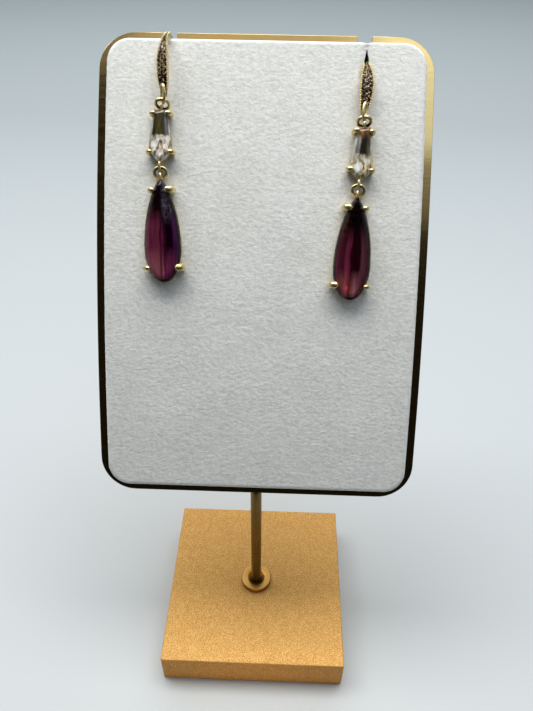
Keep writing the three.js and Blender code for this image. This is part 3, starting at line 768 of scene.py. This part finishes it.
def smoothTable(table, at):
    # the table's columns at each place, eased between its rows
    fine = np.linspace(0, 1, 200)
    soft = np.stack([np.interp(fine, table[:, 0], table[:, k]) for k in (1, 2)])
    kernel = np.hanning(27) / np.hanning(27).sum()
    padded = np.pad(soft, ((0, 0), (13, 13)), mode="edge")
    soft = np.stack([np.convolve(line, kernel, "valid") for line in padded])
    return np.interp(at, fine, soft[0]), np.interp(at, fine, soft[1])


def superSection(a, b, power, count=24):
    # an oval whose sides flatten as its power grows from 2
    turn = fullTurn(count)
    c, d = np.cos(turn), np.sin(turn)
    e = (2 / power)[:, None]
    return np.stack([a[:, None] * np.sign(c) * np.abs(c) ** e, b[:, None] * np.sign(d) * np.abs(d) ** e], -1)


def hookShell(barWidth):
    # an oval carried along the plain wire and then the bar, with the bar's width and depth from barShares
    steps, back = 90, bezier(backCurve, 40)
    straight = np.linspace([0, -hook["backDrop"], -hook["back"]], backCurve[0], 12)[:-1]
    width, depth = smoothTable(barShares, np.linspace(0, 1, steps))
    wireCount = len(straight) + len(back) - 1
    wire = np.full(wireCount, hook["wire"] / 2)
    path = np.vstack([straight, back[:-1], bezier(barCurve, steps)])
    end = np.sqrt(np.clip(np.linspace(*hook["tip"], steps)[::-1], 0, 1))
    a = np.concatenate([wire, width * barWidth / 2 * end])
    b = np.concatenate([wire, depth * hook["depth"] / 2 * end])
    flat = np.interp(np.arange(steps), [0, hook["flatFrom"]], [2, hook["flat"]])
    power = np.concatenate([np.full(wireCount, 2.0), flat])
    a[:3] *= hook["wireEnd"]
    b[:3] *= hook["wireEnd"]
    return alongPath(path, (1, 0, 0), superSection(a, b, power))


def seedPlaces(barWidth):
    # stones in one row where the bar is narrow, in two and then three staggered ones where it is wide:
    # each is its share of the bar's length, its place across and its size
    line = bezier(barCurve, 400)
    length = np.linalg.norm(np.diff(line, axis=0), axis=1).sum()
    step = 0.5 * seedField["pitch"] / length
    rows = []
    for at in np.arange(seedField["from"] * length, seedField["to"] * length, seedField["pitch"]):
        share = at / length
        width = smoothTable(barShares, share)[0] * barWidth
        if width > seedField["tripleFrom"]:
            rows += [(share, -0.25 * width, 0.32 * width), (share + step, 0.0, 0.31 * width),
                     (share, 0.25 * width, 0.32 * width)]
        elif width > seedField["pairFrom"]:
            rows += [(share, -0.17 * width, 0.4 * width), (share + step, 0.18 * width, 0.38 * width)]
        else:
            rows.append((share, 0.0, 0.58 * width))
    return np.array(rows)


def shadeBedStrip(barWidth):
    # a thin near-black bed under the stones, from edge to edge of the bar's face, as painted shade between
    # them
    share = np.linspace(seedShadeBed["from"], seedShadeBed["to"], 60)
    half = smoothTable(barShares, share)[0] * barWidth / 2 - seedShadeBed["inset"]
    edges = [barPlace(share, side * half, np.full(60, seedShadeBed[level]))[0]
             for side, level in ((-1, "bottom"), (-1, "top"), (1, "top"), (1, "bottom"))]
    return outward(gridShell(np.stack(edges, 1), False, True, True))


def barPlace(share, x, lift):
    # points above the bar's outer face, with the turns that stand things on it
    line, places = bezier(barCurve, 400), np.arange(400)
    at = np.clip(share, 0, 1) * places[-1]
    centre = curveAt(at, places, line)
    ahead = units(curveAt(at, places, np.gradient(line, axis=0)))
    across = np.tile([1.0, 0, 0], (len(share), 1))
    out = -np.cross(across, ahead)
    depth = smoothTable(barShares, share)[1] * hook["depth"]
    centre = centre + across * x[:, None] + out * (depth / 2 + lift)[:, None]
    return centre, np.stack([across, np.cross(out, across), out], -1)


def brilliant(sides=8):
    # a small stone: a table, a star row turned by half a step, a girdle and a foot
    turn = fullTurn(sides)
    half = turn + np.pi / sides
    rows = [(0.5, turn, 0.3), (0.8, half, 0.17), (1.0, turn, 0.0), (0.7, turn, -0.5)]
    points = np.stack([np.stack([r * np.cos(t), r * np.sin(t), 0 * t + z], -1) for r, t, z in rows])
    return outward(gridShell(points, False, True, True))


def standOn(shape, share, x, lift, sizes):
    # copies of a small shape on the bar's outer face
    spots, turns = barPlace(share, x, np.full(len(share), lift))
    return copies(shape, spots, turns, np.broadcast_to(sizes, len(share)))


def buildHook(side, origin, turn):
    name, barWidth = side["name"], side["barWidth"]
    angle = fullTurn(40)
    path = np.stack([0 * angle, (eye["long"] - eye["thick"]) / 2 * np.cos(angle) - eye["drop"],
                     (eye["wide"] - eye["thick"]) / 2 * np.sin(angle)], -1)
    ring = alongPath(path, (1, 0, 0), circleSection([eye["thick"] / 2], 14), True)
    eyeTurn = turnX(eye["tilt"]) @ turnY(-side["side"] * eye["turn"])
    gold = [hookShell(barWidth), placed(ring, [0, -eye["below"], eye["out"]], eyeTurn)]
    share = np.arange(beading["from"], beading["to"], beading["step"])
    half = smoothTable(barShares, share)[0] * barWidth / 2
    for edge in (-1, 1):
        gold.append(standOn(ball(8, 5), share, edge * (half - beading["inset"]), beading["lift"],
                            side["bead"]))
    at, x, size = seedPlaces(barWidth).T
    between = at + seedField["clawAfter"]
    for edge in (-1, 1):
        gold.append(standOn(ball(7, 4), between, x + edge * size * seedField["clawSpread"],
                            seedField["clawLift"], seedField["claw"]))
    newPiece(name + "EarHook", placed(joinShells(gold), origin, turn), paleGold,
             [name + "_ear_hook"], sharp=45)
    bed = shadeBedStrip(barWidth)
    stones = joinShells([standOn(brilliant(), at, x, seedField["lift"], size * seedField["stone"]), bed])
    seeds = newPiece(name + "SeedStones", placed(stones, origin, turn), seedStone, sharp=0)
    # a random tone for each facet, the highest painted as glints
    random = np.random.default_rng(3 + side["side"])
    tone = random.uniform(0, 1, len(seeds.data.polygons)) ** 1.5
    # the bed takes the darkest tone, as painted shade
    inBed = np.concatenate([stones[1][:, 0], stones[2][:, 0]]) >= len(stones[0]) - len(bed[0])
    giveValues(seeds, "tone", "FACE", np.where(inBed, 0, tone))


def gemHalf(gem, y, inset=0.0):
    # half the stone's width at y below its top end: the flank's curve, then the toe's
    share = np.clip((-y - inset) / (gem["length"] - 2 * inset), 0, 1)
    half = gem["width"] / 2 - inset
    up = np.clip(1 - share / gem["shoulder"], 0, 1)
    down = np.clip((share - gem["shoulder"]) / (1 - gem["shoulder"]), 0, 1)
    return half * np.where(share < gem["shoulder"], gem["flank"](up), gem["toe"](down))


def gemOutline(gem, inset, steps):
    # points at even turns round the stone, from its top end down its right side and up its left
    angle = np.arange(2 * steps + 1) * np.pi / steps
    c = np.cos(angle)
    share = np.where(c > 0, gem["shoulder"] * (1 - c), gem["shoulder"] - (1 - gem["shoulder"]) * c)
    y = -inset - share * (gem["length"] - 2 * inset)
    x = gemHalf(gem, y, inset) * np.where(np.sin(angle) >= 0, 1, -1)
    return np.stack([x, y], -1)


def gemShell(gem, steps):
    # rings from the keel to the table: the outline drawn in by each ring's inset, at its own height
    def ring(inset, z):
        outline = gemOutline(gem, inset, steps)[:-1]
        return np.column_stack([outline, np.full(len(outline), z)])
    keelTop, keelBottom = -gem["keelFrom"] * gem["length"], -gem["shoulder"] * gem["length"]
    low = ring(0, 0)
    keel = np.stack([0.02 * np.sign(low[:, 0]), np.clip(low[:, 1], keelBottom, keelTop),
                     0 * low[:, 0] - gem["keel"]], -1)
    mid = 0.5 * (low + keel)
    mid[:, 2] = -0.62 * gem["keel"]
    crown = [(0.04, 0), (0.14 * gem["inset"], 0.34), (0.55 * gem["inset"], 0.8), (gem["inset"], 1)]
    points = [keel, mid, low] + [ring(inset, gem["girdle"] + up * gem["crown"]) for inset, up in crown]
    return outward(gridShell(np.stack(points), False, True, True))


def cutMap(piece, gem, origin, turn):
    # the stone's own map: across its width from 0 to 1, and along its length from 0 at its top end
    mesh = piece.data
    local = (meshPoints(piece) - origin) @ turn
    corners = np.empty(len(mesh.loops), int)
    mesh.loops.foreach_get("vertex_index", corners)
    half = np.maximum(gemHalf(gem, local[:, 1]), 0.4)
    uv = np.stack([0.5 + 0.5 * local[:, 0] / half, -local[:, 1] / gem["length"]], -1)[corners]
    mesh.uv_layers.new(name="cut").data.foreach_set("uv", uv.ravel())


def settingShell(gem, claws, ends, inner):
    # a wall that follows the stone's outline, four claws, and an oval eye at each end that is named
    outline = gemOutline(gem, 0, 60)[:-1]
    ahead = np.roll(outline, -1, 0) - np.roll(outline, 1, 0)
    out = units(np.stack([-ahead[:, 1], ahead[:, 0]], -1))
    out *= np.where((out * (outline - [0, -gem["length"] / 2])).sum(1) < 0, -1, 1)[:, None]
    level, wall, depth = np.zeros(len(outline)), seat["wall"], seat["depth"]
    flare = np.abs(out[:, 0]) * seat["flare"]
    rise = (np.abs(out[:, 0]) - 1) * seat["below"] - seat["under"]
    layers = [(level - wall, level - depth), (level, level - depth), (0.5 * flare, 0.5 * (rise - depth)),
              (flare, rise), (flare - wall, rise)]
    points = np.stack([np.column_stack([outline + out * offset[:, None], z]) for offset, z in layers], 1)
    parts = [outward(gridShell(points, True, True))]
    for share in claws["at"]:
        for side in (-1, 1):
            diameter = claws["diameter"] * (claws["inner"] if side == inner else 1)
            parts.append(clawShell(gem, share, side, diameter))
    for end in ends:
        size = bail if end > 0 else tailEye
        y = size["out"] if end > 0 else -gem["length"] - size["out"]
        wire = size["wire"]
        ring = ovalRing((size["wide"] - wire) / 2, (size["long"] - wire) / 2, wire / 2, 32, 14)
        parts.append(placed(ring, [0, y, -size["sink"]], turnY(size["turn"])))
    return joinShells(parts)


def ovalRing(across, along, radius, sides, around, deep=1):
    # a wire carried round an oval in the xy plane, with its section stretched by deep along z
    angle = fullTurn(sides)
    path = np.stack([across * np.cos(angle), along * np.sin(angle), 0 * angle], -1)
    return alongPath(path, (0, 0, 1), circleSection([radius], around) * [deep, 1], True)


def clawShell(gem, share, side, diameter):
    # a wire that rises beside the wall and bends in over the stone's crown, with a round tip
    y, r, over = -share * gem["length"], diameter / 2, claw["over"]
    half = float(gemHalf(gem, y))
    step = 0.01 * gem["length"]
    narrowing = float(gemHalf(gem, y - step) - gemHalf(gem, y + step)) / (2 * step)
    slope = gem["crown"] / (half - float(gemHalf(gem, y, gem["inset"])))
    clear = (claw["clearance"] + r) * math.sqrt(1 + slope ** 2 + (slope * narrowing) ** 2)
    stem = (r + claw["clearance"]) * math.hypot(1, narrowing)
    rise = lambda inset: gem["girdle"] + inset * slope + clear
    stations = [(stem - 0.8 * r, -seat["depth"]), (stem, -0.5 * seat["depth"]), (stem, gem["girdle"]),
                (stem - 0.15 * r, rise(0) - 0.55 * r), (-0.4 * over, rise(0.4 * over) - 0.1 * r),
                (-over - 0.4 * r, rise(over) - 0.25 * r)]
    path = smoothPath([(side * (half + offset), y, z) for offset, z in stations], 30)
    at = np.linspace(0, 1, 30)
    radius = r * np.interp(at, [0, 0.3, 0.6, 0.8, 1], [0.8, 1, 1.02, 1.05, 0.85])
    radius *= np.sqrt(np.clip(1 - (np.clip(at - 0.84, 0, 1) / 0.165) ** 2, 0.02, 1))
    return alongPath(path, (0, 1, 0), circleSection(radius, 16))


def spanRing(name, ring, start, end, node):
    # an oval wire ring between two places, with painted shade on its inner side
    span = np.linalg.norm(start - end)
    up = (start - end) / span
    across = np.array([1.0, 0, 0]) - up * up[0]
    across /= np.linalg.norm(across)
    turn = np.stack([across, up, np.cross(across, up)], -1)
    shell = ovalRing(ring["across"] / 2, span / 2, ring["thick"] / 2, 56, 18, ring["deep"])
    # how far each point lies in towards the ring's middle, for the painted shade
    inner = 1 - np.hypot(shell[0][:, 0] / ring["across"], shell[0][:, 1] / span) * 2
    piece = newPiece(name, placed(shell, (start + end) / 2, turn), paleGold, [node], sharp=60)
    giveValues(piece, "inner", "POINT", np.clip(1.6 * inner * span / ring["wire"], 0, 1))


def loopSeat(ring):
    return loop["out"] + loop["diameter"] / 2 - loop["wire"] - ring["wire"] / 2 - loop["play"]


def hang(start, ring, swing, roll, gem):
    # the place and turn of a stone that hangs by a ring from start and rests on the pad
    x, s, h = panelPlace(start)
    reach = gem["length"] / 2 + loopSeat(ring)
    rest = panel["gap"] + seat["pad"] + seat["gap"] + seat["depth"]
    height = rest - loop["sink"] + reach ** 2 / (2 * bow)
    drop = math.sqrt((ring["diameter"] - ring["wire"]) ** 2 - (h - height) ** 2 - swing ** 2)
    origin, turn = panelFrame(x + swing + reach * math.sin(roll), s - drop - reach * math.cos(roll), rest)
    turn = turn @ turnZ(roll)
    return origin + turn @ [0, gem["length"] / 2, 0], turn


# the stones' inner colours, their tint with painted reflections and shade: ramps across the stone for its
# head, body and toe, and one over the noise of its facets for painted sparkle; bodyFrom, toeFrom and
# facetsFrom are the shares of its length where each fades in
black = (0.004, 0.001, 0.002)
smoke, olive, mist = (0.02, 0.018, 0.006), (0.075, 0.06, 0.02), (0.6, 0.6, 0.56)
purpleLooks = {
    "left": {"drift": 0.018, "mottle": 1.0,
        "head": [(0.0, black), (0.1, (0.035, 0.014, 0.012)), (0.26, (0.008, 0.001, 0.002)), (0.45, black),
            (0.56, (0.012, 0.009, 0.014)), (0.68, (0.06, 0.05, 0.07)), (0.86, (0.03, 0.02, 0.035)),
            (0.97, black)],
        "body": [(0.015, black), (0.04, (0.15, 0.045, 0.07)), (0.16, (0.1, 0.014, 0.036)),
            (0.41, (0.12, 0.02, 0.042)), (0.45, (0.03, 0.002, 0.01)), (0.52, (0.09, 0.011, 0.034)),
            (0.57, (0.035, 0.002, 0.012)), (0.65, (0.006, 0.0005, 0.004)), (0.79, (0.004, 0.0004, 0.004)),
            (0.84, (0.045, 0.005, 0.042)), (0.94, (0.03, 0.003, 0.03)), (0.98, black)],
        "toe": [(0.015, black), (0.04, (0.2, 0.06, 0.08)), (0.36, (0.22, 0.065, 0.08)),
            (0.44, (0.06, 0.005, 0.016)), (0.5, (0.22, 0.07, 0.1)), (0.57, (0.16, 0.03, 0.05)),
            (0.6, (0.05, 0.006, 0.02)), (0.68, (0.15, 0.02, 0.06)), (0.85, (0.12, 0.02, 0.06)),
            (0.98, black)],
        "bodyFrom": (0.29, 0.45), "toeFrom": (0.66, 0.86),
        "paintedGlint": ((0.56, 0.9), (0.03, 0.02), (0.3, 0.02, 0.45))},
    "right": {"drift": 0.018, "mottle": 1.0,
        "head": [(0.0, black), (0.12, (0.035, 0.014, 0.005)), (0.22, (0.012, 0.004, 0.002)),
            (0.35, black), (0.7, black), (0.85, (0.014, 0.008, 0.01)), (1.0, black)],
        "body": [(0.02, black), (0.06, (0.075, 0.014, 0.026)), (0.26, (0.045, 0.005, 0.014)),
            (0.3, (0.13, 0.018, 0.045)), (0.4, (0.095, 0.011, 0.028)), (0.43, (0.025, 0.001, 0.005)),
            (0.52, (0.013, 0.0008, 0.003)), (0.7, (0.016, 0.0008, 0.003)), (0.76, (0.09, 0.03, 0.045)),
            (0.9, (0.05, 0.012, 0.02)), (0.98, black)],
        "toe": [(0.02, black), (0.06, (0.2, 0.05, 0.06)), (0.3, (0.25, 0.065, 0.065)),
            (0.4, (0.09, 0.012, 0.016)), (0.52, (0.17, 0.045, 0.045)), (0.66, (0.3, 0.11, 0.13)),
            (0.8, (0.13, 0.025, 0.035)), (0.98, black)],
        "bodyFrom": (0.28, 0.48), "toeFrom": (0.7, 0.9),
        "paintedGlint": ((0.33, 0.885), (0.05, 0.026), (1.0, 0.02, 0.03))},
}
clearLooks = {
    "left": {"drift": 0.05, "mottle": 0.5,
        "head": [(0.0, (0.12, 0.07, 0.03)), (0.5, (0.2, 0.13, 0.06)), (1.0, (0.1, 0.06, 0.03))],
        "body": [(0.0, mist), (0.07, (0.3, 0.3, 0.27)), (0.14, smoke), (0.3, olive),
            (0.5, (0.09, 0.075, 0.035)), (0.7, (0.05, 0.04, 0.015)), (0.78, (0.15, 0.14, 0.14)),
            (0.86, (0.3, 0.3, 0.3)), (0.92, (0.1, 0.1, 0.1)), (1.0, mist)],
        "toe": [(0.0, mist), (0.3, (0.8, 0.78, 0.72)), (0.6, (0.5, 0.36, 0.2)), (1.0, mist)],
        "facets": [(0.27, (0.1, 0.05, 0.015)), (0.34, (0.6, 0.42, 0.2)), (0.4, (1.0, 0.96, 0.86)),
            (0.74, (1.0, 1.0, 0.95)), (0.82, (0.42, 0.42, 0.38))],
        "bodyFrom": (0.04, 0.1), "toeFrom": (0.5, 0.56), "facetsFrom": (0.52, 0.58),
        "paintedGlint": ((0.25, 0.7), (0.2, 0.1), (1.0, 1.0, 0.97))},
    "right": {"drift": 0.05, "mottle": 0.6,
        "head": [(0.0, (0.36, 0.2, 0.06)), (0.3, (0.34, 0.14, 0.02)), (0.6, (0.12, 0.04, 0.006)),
            (1.0, (0.3, 0.15, 0.04))],
        "body": [(0.0, mist), (0.08, mist), (0.17, (0.16, 0.16, 0.13)), (0.26, (0.5, 0.5, 0.44)),
            (0.36, (0.012, 0.01, 0.004)), (0.66, (0.012, 0.009, 0.003)), (0.76, olive),
            (0.85, (0.12, 0.12, 0.1)), (0.92, (0.45, 0.45, 0.42)), (1.0, mist)],
        "toe": [(0.0, mist), (0.25, (0.9, 0.88, 0.84)), (0.5, (0.42, 0.3, 0.13)),
            (0.8, (0.8, 0.75, 0.65)), (1.0, mist)],
        "facets": [(0.28, (0.09, 0.05, 0.012)), (0.37, (0.5, 0.34, 0.1)), (0.46, (0.9, 0.76, 0.45)),
            (0.58, (1.0, 0.98, 0.9)), (0.82, (0.42, 0.4, 0.3))],
        "bodyFrom": (0.13, 0.25), "toeFrom": (0.55, 0.65), "facetsFrom": (0.5, 0.7),
        "paintedGlint": ((0.3, 0.8), (0.16, 0.1), (1.0, 1.0, 0.97))},
}
drops = [{"ring": upperRing, "ringName": "Upper", "kind": "Clear", "cut": clearCut, "claws": clearClaws,
          "ends": (1, -1), "steps": 9, "finish": clearMaterial, "paint": "Clear", "looks": clearLooks},
         {"ring": lowerRing, "ringName": "Lower", "kind": "Purple", "cut": purpleCut, "claws": purpleClaws,
          "ends": (1,), "steps": 12, "finish": purpleMaterial, "paint": "Plum", "looks": purpleLooks}]


def hangDrop(side, drop, swing, roll, start, wireAt):
    # a stone in its setting hangs from start, and its ring spans from wireAt to the setting's bail
    name, cut, ringName = side["name"], drop["cut"], drop["ringName"]
    title, node = name + drop["kind"], name + "_" + drop["kind"].lower()
    top, turn = hang(start, drop["ring"], swing, roll, cut)
    under = top + turn @ [0, bail["foot"], -bail["sink"]]
    spanRing(name + ringName + "Ring", drop["ring"], wireAt, under, f"{name}_{ringName.lower()}_ring")
    setting = placed(settingShell(cut, drop["claws"], drop["ends"], -side["side"]), top, turn)
    newPiece(title + "Setting", setting, paleGold, [node + "_setting"], sharp=40)
    finish = drop["finish"](name + drop["paint"], drop["looks"][name])
    stone = newPiece(title + "Stone", placed(gemShell(cut, drop["steps"]), top, turn), finish,
                     [node + "_stone"], sharp=0)
    cutMap(stone, cut, top, turn)
    return top, turn


def buildEarring(side):
    origin, turn = panelFrame(side["side"] * (notch["offset"] - side["inward"]), side["s"], side["h"])
    roll, yaw, tip = (math.radians(side[key]) for key in ("roll", "yaw", "tip"))
    turn = turn @ turnZ(roll) @ turnY(yaw) @ turnX(tip)
    buildHook(side, origin, turn)
    down = eye["length"] / 2 - eye["wire"] - upperRing["wire"] / 2 - eye["play"]
    start = origin + turn @ [0, -eye["below"] - down * math.cos(eye["tilt"]),
                             eye["out"] - down * math.sin(eye["tilt"])]
    wireAt = start + turn @ turnX(eye["tilt"]) @ [0, -upperRing["lower"], 0]
    for drop, swing, roll in zip(drops, side["swings"], side["stoneRolls"]):
        top, turn = hangDrop(side, drop, swing, math.radians(roll), start, wireAt)
        toe = -drop["cut"]["length"]
        start = top + turn @ [0, toe - loopSeat(lowerRing), -loop["sink"]]
        wireAt = top + turn @ [0, toe - tailEye["foot"], -tailEye["sink"]]


for side in earringSides:
    buildEarring(side)
print("earrings built")


# stage, light and camera

# each card's corners, and whether it also darkens what it stands before
cards = {"frontCard": ([(-450, -280, 0), (450, -280, 0), (450, -280, 400), (-450, -280, 400)], True),
         "leftCard": ([(-450, -270, 380), (-10, -270, 380), (-10, -270, 830), (-450, -270, 830)], True),
         "tableCard": ([(-450, -280, 1), (450, -280, 1), (450, -46, 1), (-450, -46, 1)], False)}
# each light's place, aim, size, watts, colour and beam in degrees
lamps = {"overhead": ((-90, 190, 1000), (0, 60, 60), (1300, 420), 14.9, (1.0, 0.985, 0.96), 180),
         "backSoftbox": ((0, 640, 640), (0, 0, 10), (1300, 600), 4.0, (0.97, 0.99, 1.0), 180),
         "rightSoftbox": ((200, -190, 640), (30, 30, 110), (240, 270), 0.36, (0.62, 0.78, 1.0), 180),
         "topStrip": ((30, -262, 1000), (0, 60, 150), (520, 90), 0.13, (1.0, 0.97, 0.92), 180),
         "footGlow": ((0, -170, 28), (0, -25, 4), (50, 8), 0.0023, (1.0, 0.6, 0.15), 30)}


def buildFloor():
    # a round floor whose paint darkens a little towards the back, from y -0.1 m to 0.9 m, as painted shade
    # where the light falls off
    size = {"radius": 1500, "behind": 300, "sides": 64}
    look = [(0.0, (0.44, 0.465, 0.47)), (0.2, (0.41, 0.44, 0.46)), (0.5, (0.30, 0.335, 0.35)),
            (1.0, (0.29, 0.34, 0.36))]
    turn = fullTurn(size["sides"])
    ring = np.stack([size["radius"] * np.cos(turn), size["radius"] * np.sin(turn) + size["behind"],
                     0 * turn], -1)
    floor = meshObject("floor", (ring, [list(range(size["sides"]))], []))
    material, tree, shader = newMaterial("paleFloor", rough=0.5, specular=0.3)
    depth = split(tree, addNode(tree, "TexCoord").outputs["Object"])["Y"]
    span = addNode(tree, "MapRange", From_Min=-0.1, From_Max=0.9, Value=depth)
    paint(tree, shader, ramp(tree, span.outputs["Result"], look))
    floor.data.materials.append(material)


def buildCard(name, corners, shades):
    # a black studio card that the camera doesn't see, for the dark sides of the gold
    card = meshObject(name, (corners, [[0, 1, 2, 3]], []))
    card.data.materials.append(newMaterial(name, color=(0.01, 0.009, 0.008), rough=0.9, specular=0.0)[0])
    card.visible_camera, card.visible_shadow, card.visible_diffuse = False, shades, shades


def buildLamp(name, place, aim, size, power, color, spread):
    data = bpy.data.lights.new(name, "AREA")
    data.shape, data.size, data.size_y = "RECTANGLE", size[0] * mm, size[1] * mm
    data.energy, data.color, data.spread = power, color, math.radians(spread)
    light = addObject(name, data)
    place, aim = np.array(place, float), np.array(aim, float)
    back = (place - aim) / np.linalg.norm(place - aim)
    side = np.cross([0, 1.0, 0.01], back)
    side /= np.linalg.norm(side)
    setPlace(light, place, np.stack([side, np.cross(back, side), back], -1))
    light.visible_camera = False


def buildWorld():
    world = bpy.data.worlds.new("studio")
    world.use_nodes = True
    sky = world.node_tree.nodes["Background"]
    sky.inputs["Color"].default_value = (0.80, 0.85, 0.88, 1)
    sky.inputs["Strength"].default_value = 0.33
    bpy.context.scene.world = world


def buildCamera():
    # the lens and the place were solved from the stand's edges in the photograph
    view = {"focal": 641.68, "place": (4.991, -103.298, 187.221), "pitch": 0.70518, "yaw": -0.02644,
            "roll": 0.01215, "longSide": 711, "sensor": 36.0}
    data = bpy.data.cameras.new("camera")
    data.sensor_width, data.sensor_fit = view["sensor"], "AUTO"
    data.lens = view["focal"] / view["longSide"] * view["sensor"]
    data.clip_start, data.clip_end = 0.01, 20
    camera = addObject("camera", data)
    turn = turnZ(-view["yaw"]) @ turnX(math.pi / 2 - view["pitch"]) @ turnZ(view["roll"])
    setPlace(camera, view["place"], turn)
    bpy.context.scene.camera = camera


bpy.context.scene.view_settings.view_transform = "Standard"
buildFloor()
for name, (corners, shades) in cards.items():
    buildCard(name, corners, shades)
buildWorld()
for name, lamp in lamps.items():
    buildLamp(name, *lamp)
buildCamera()
print("stage, light and camera set")
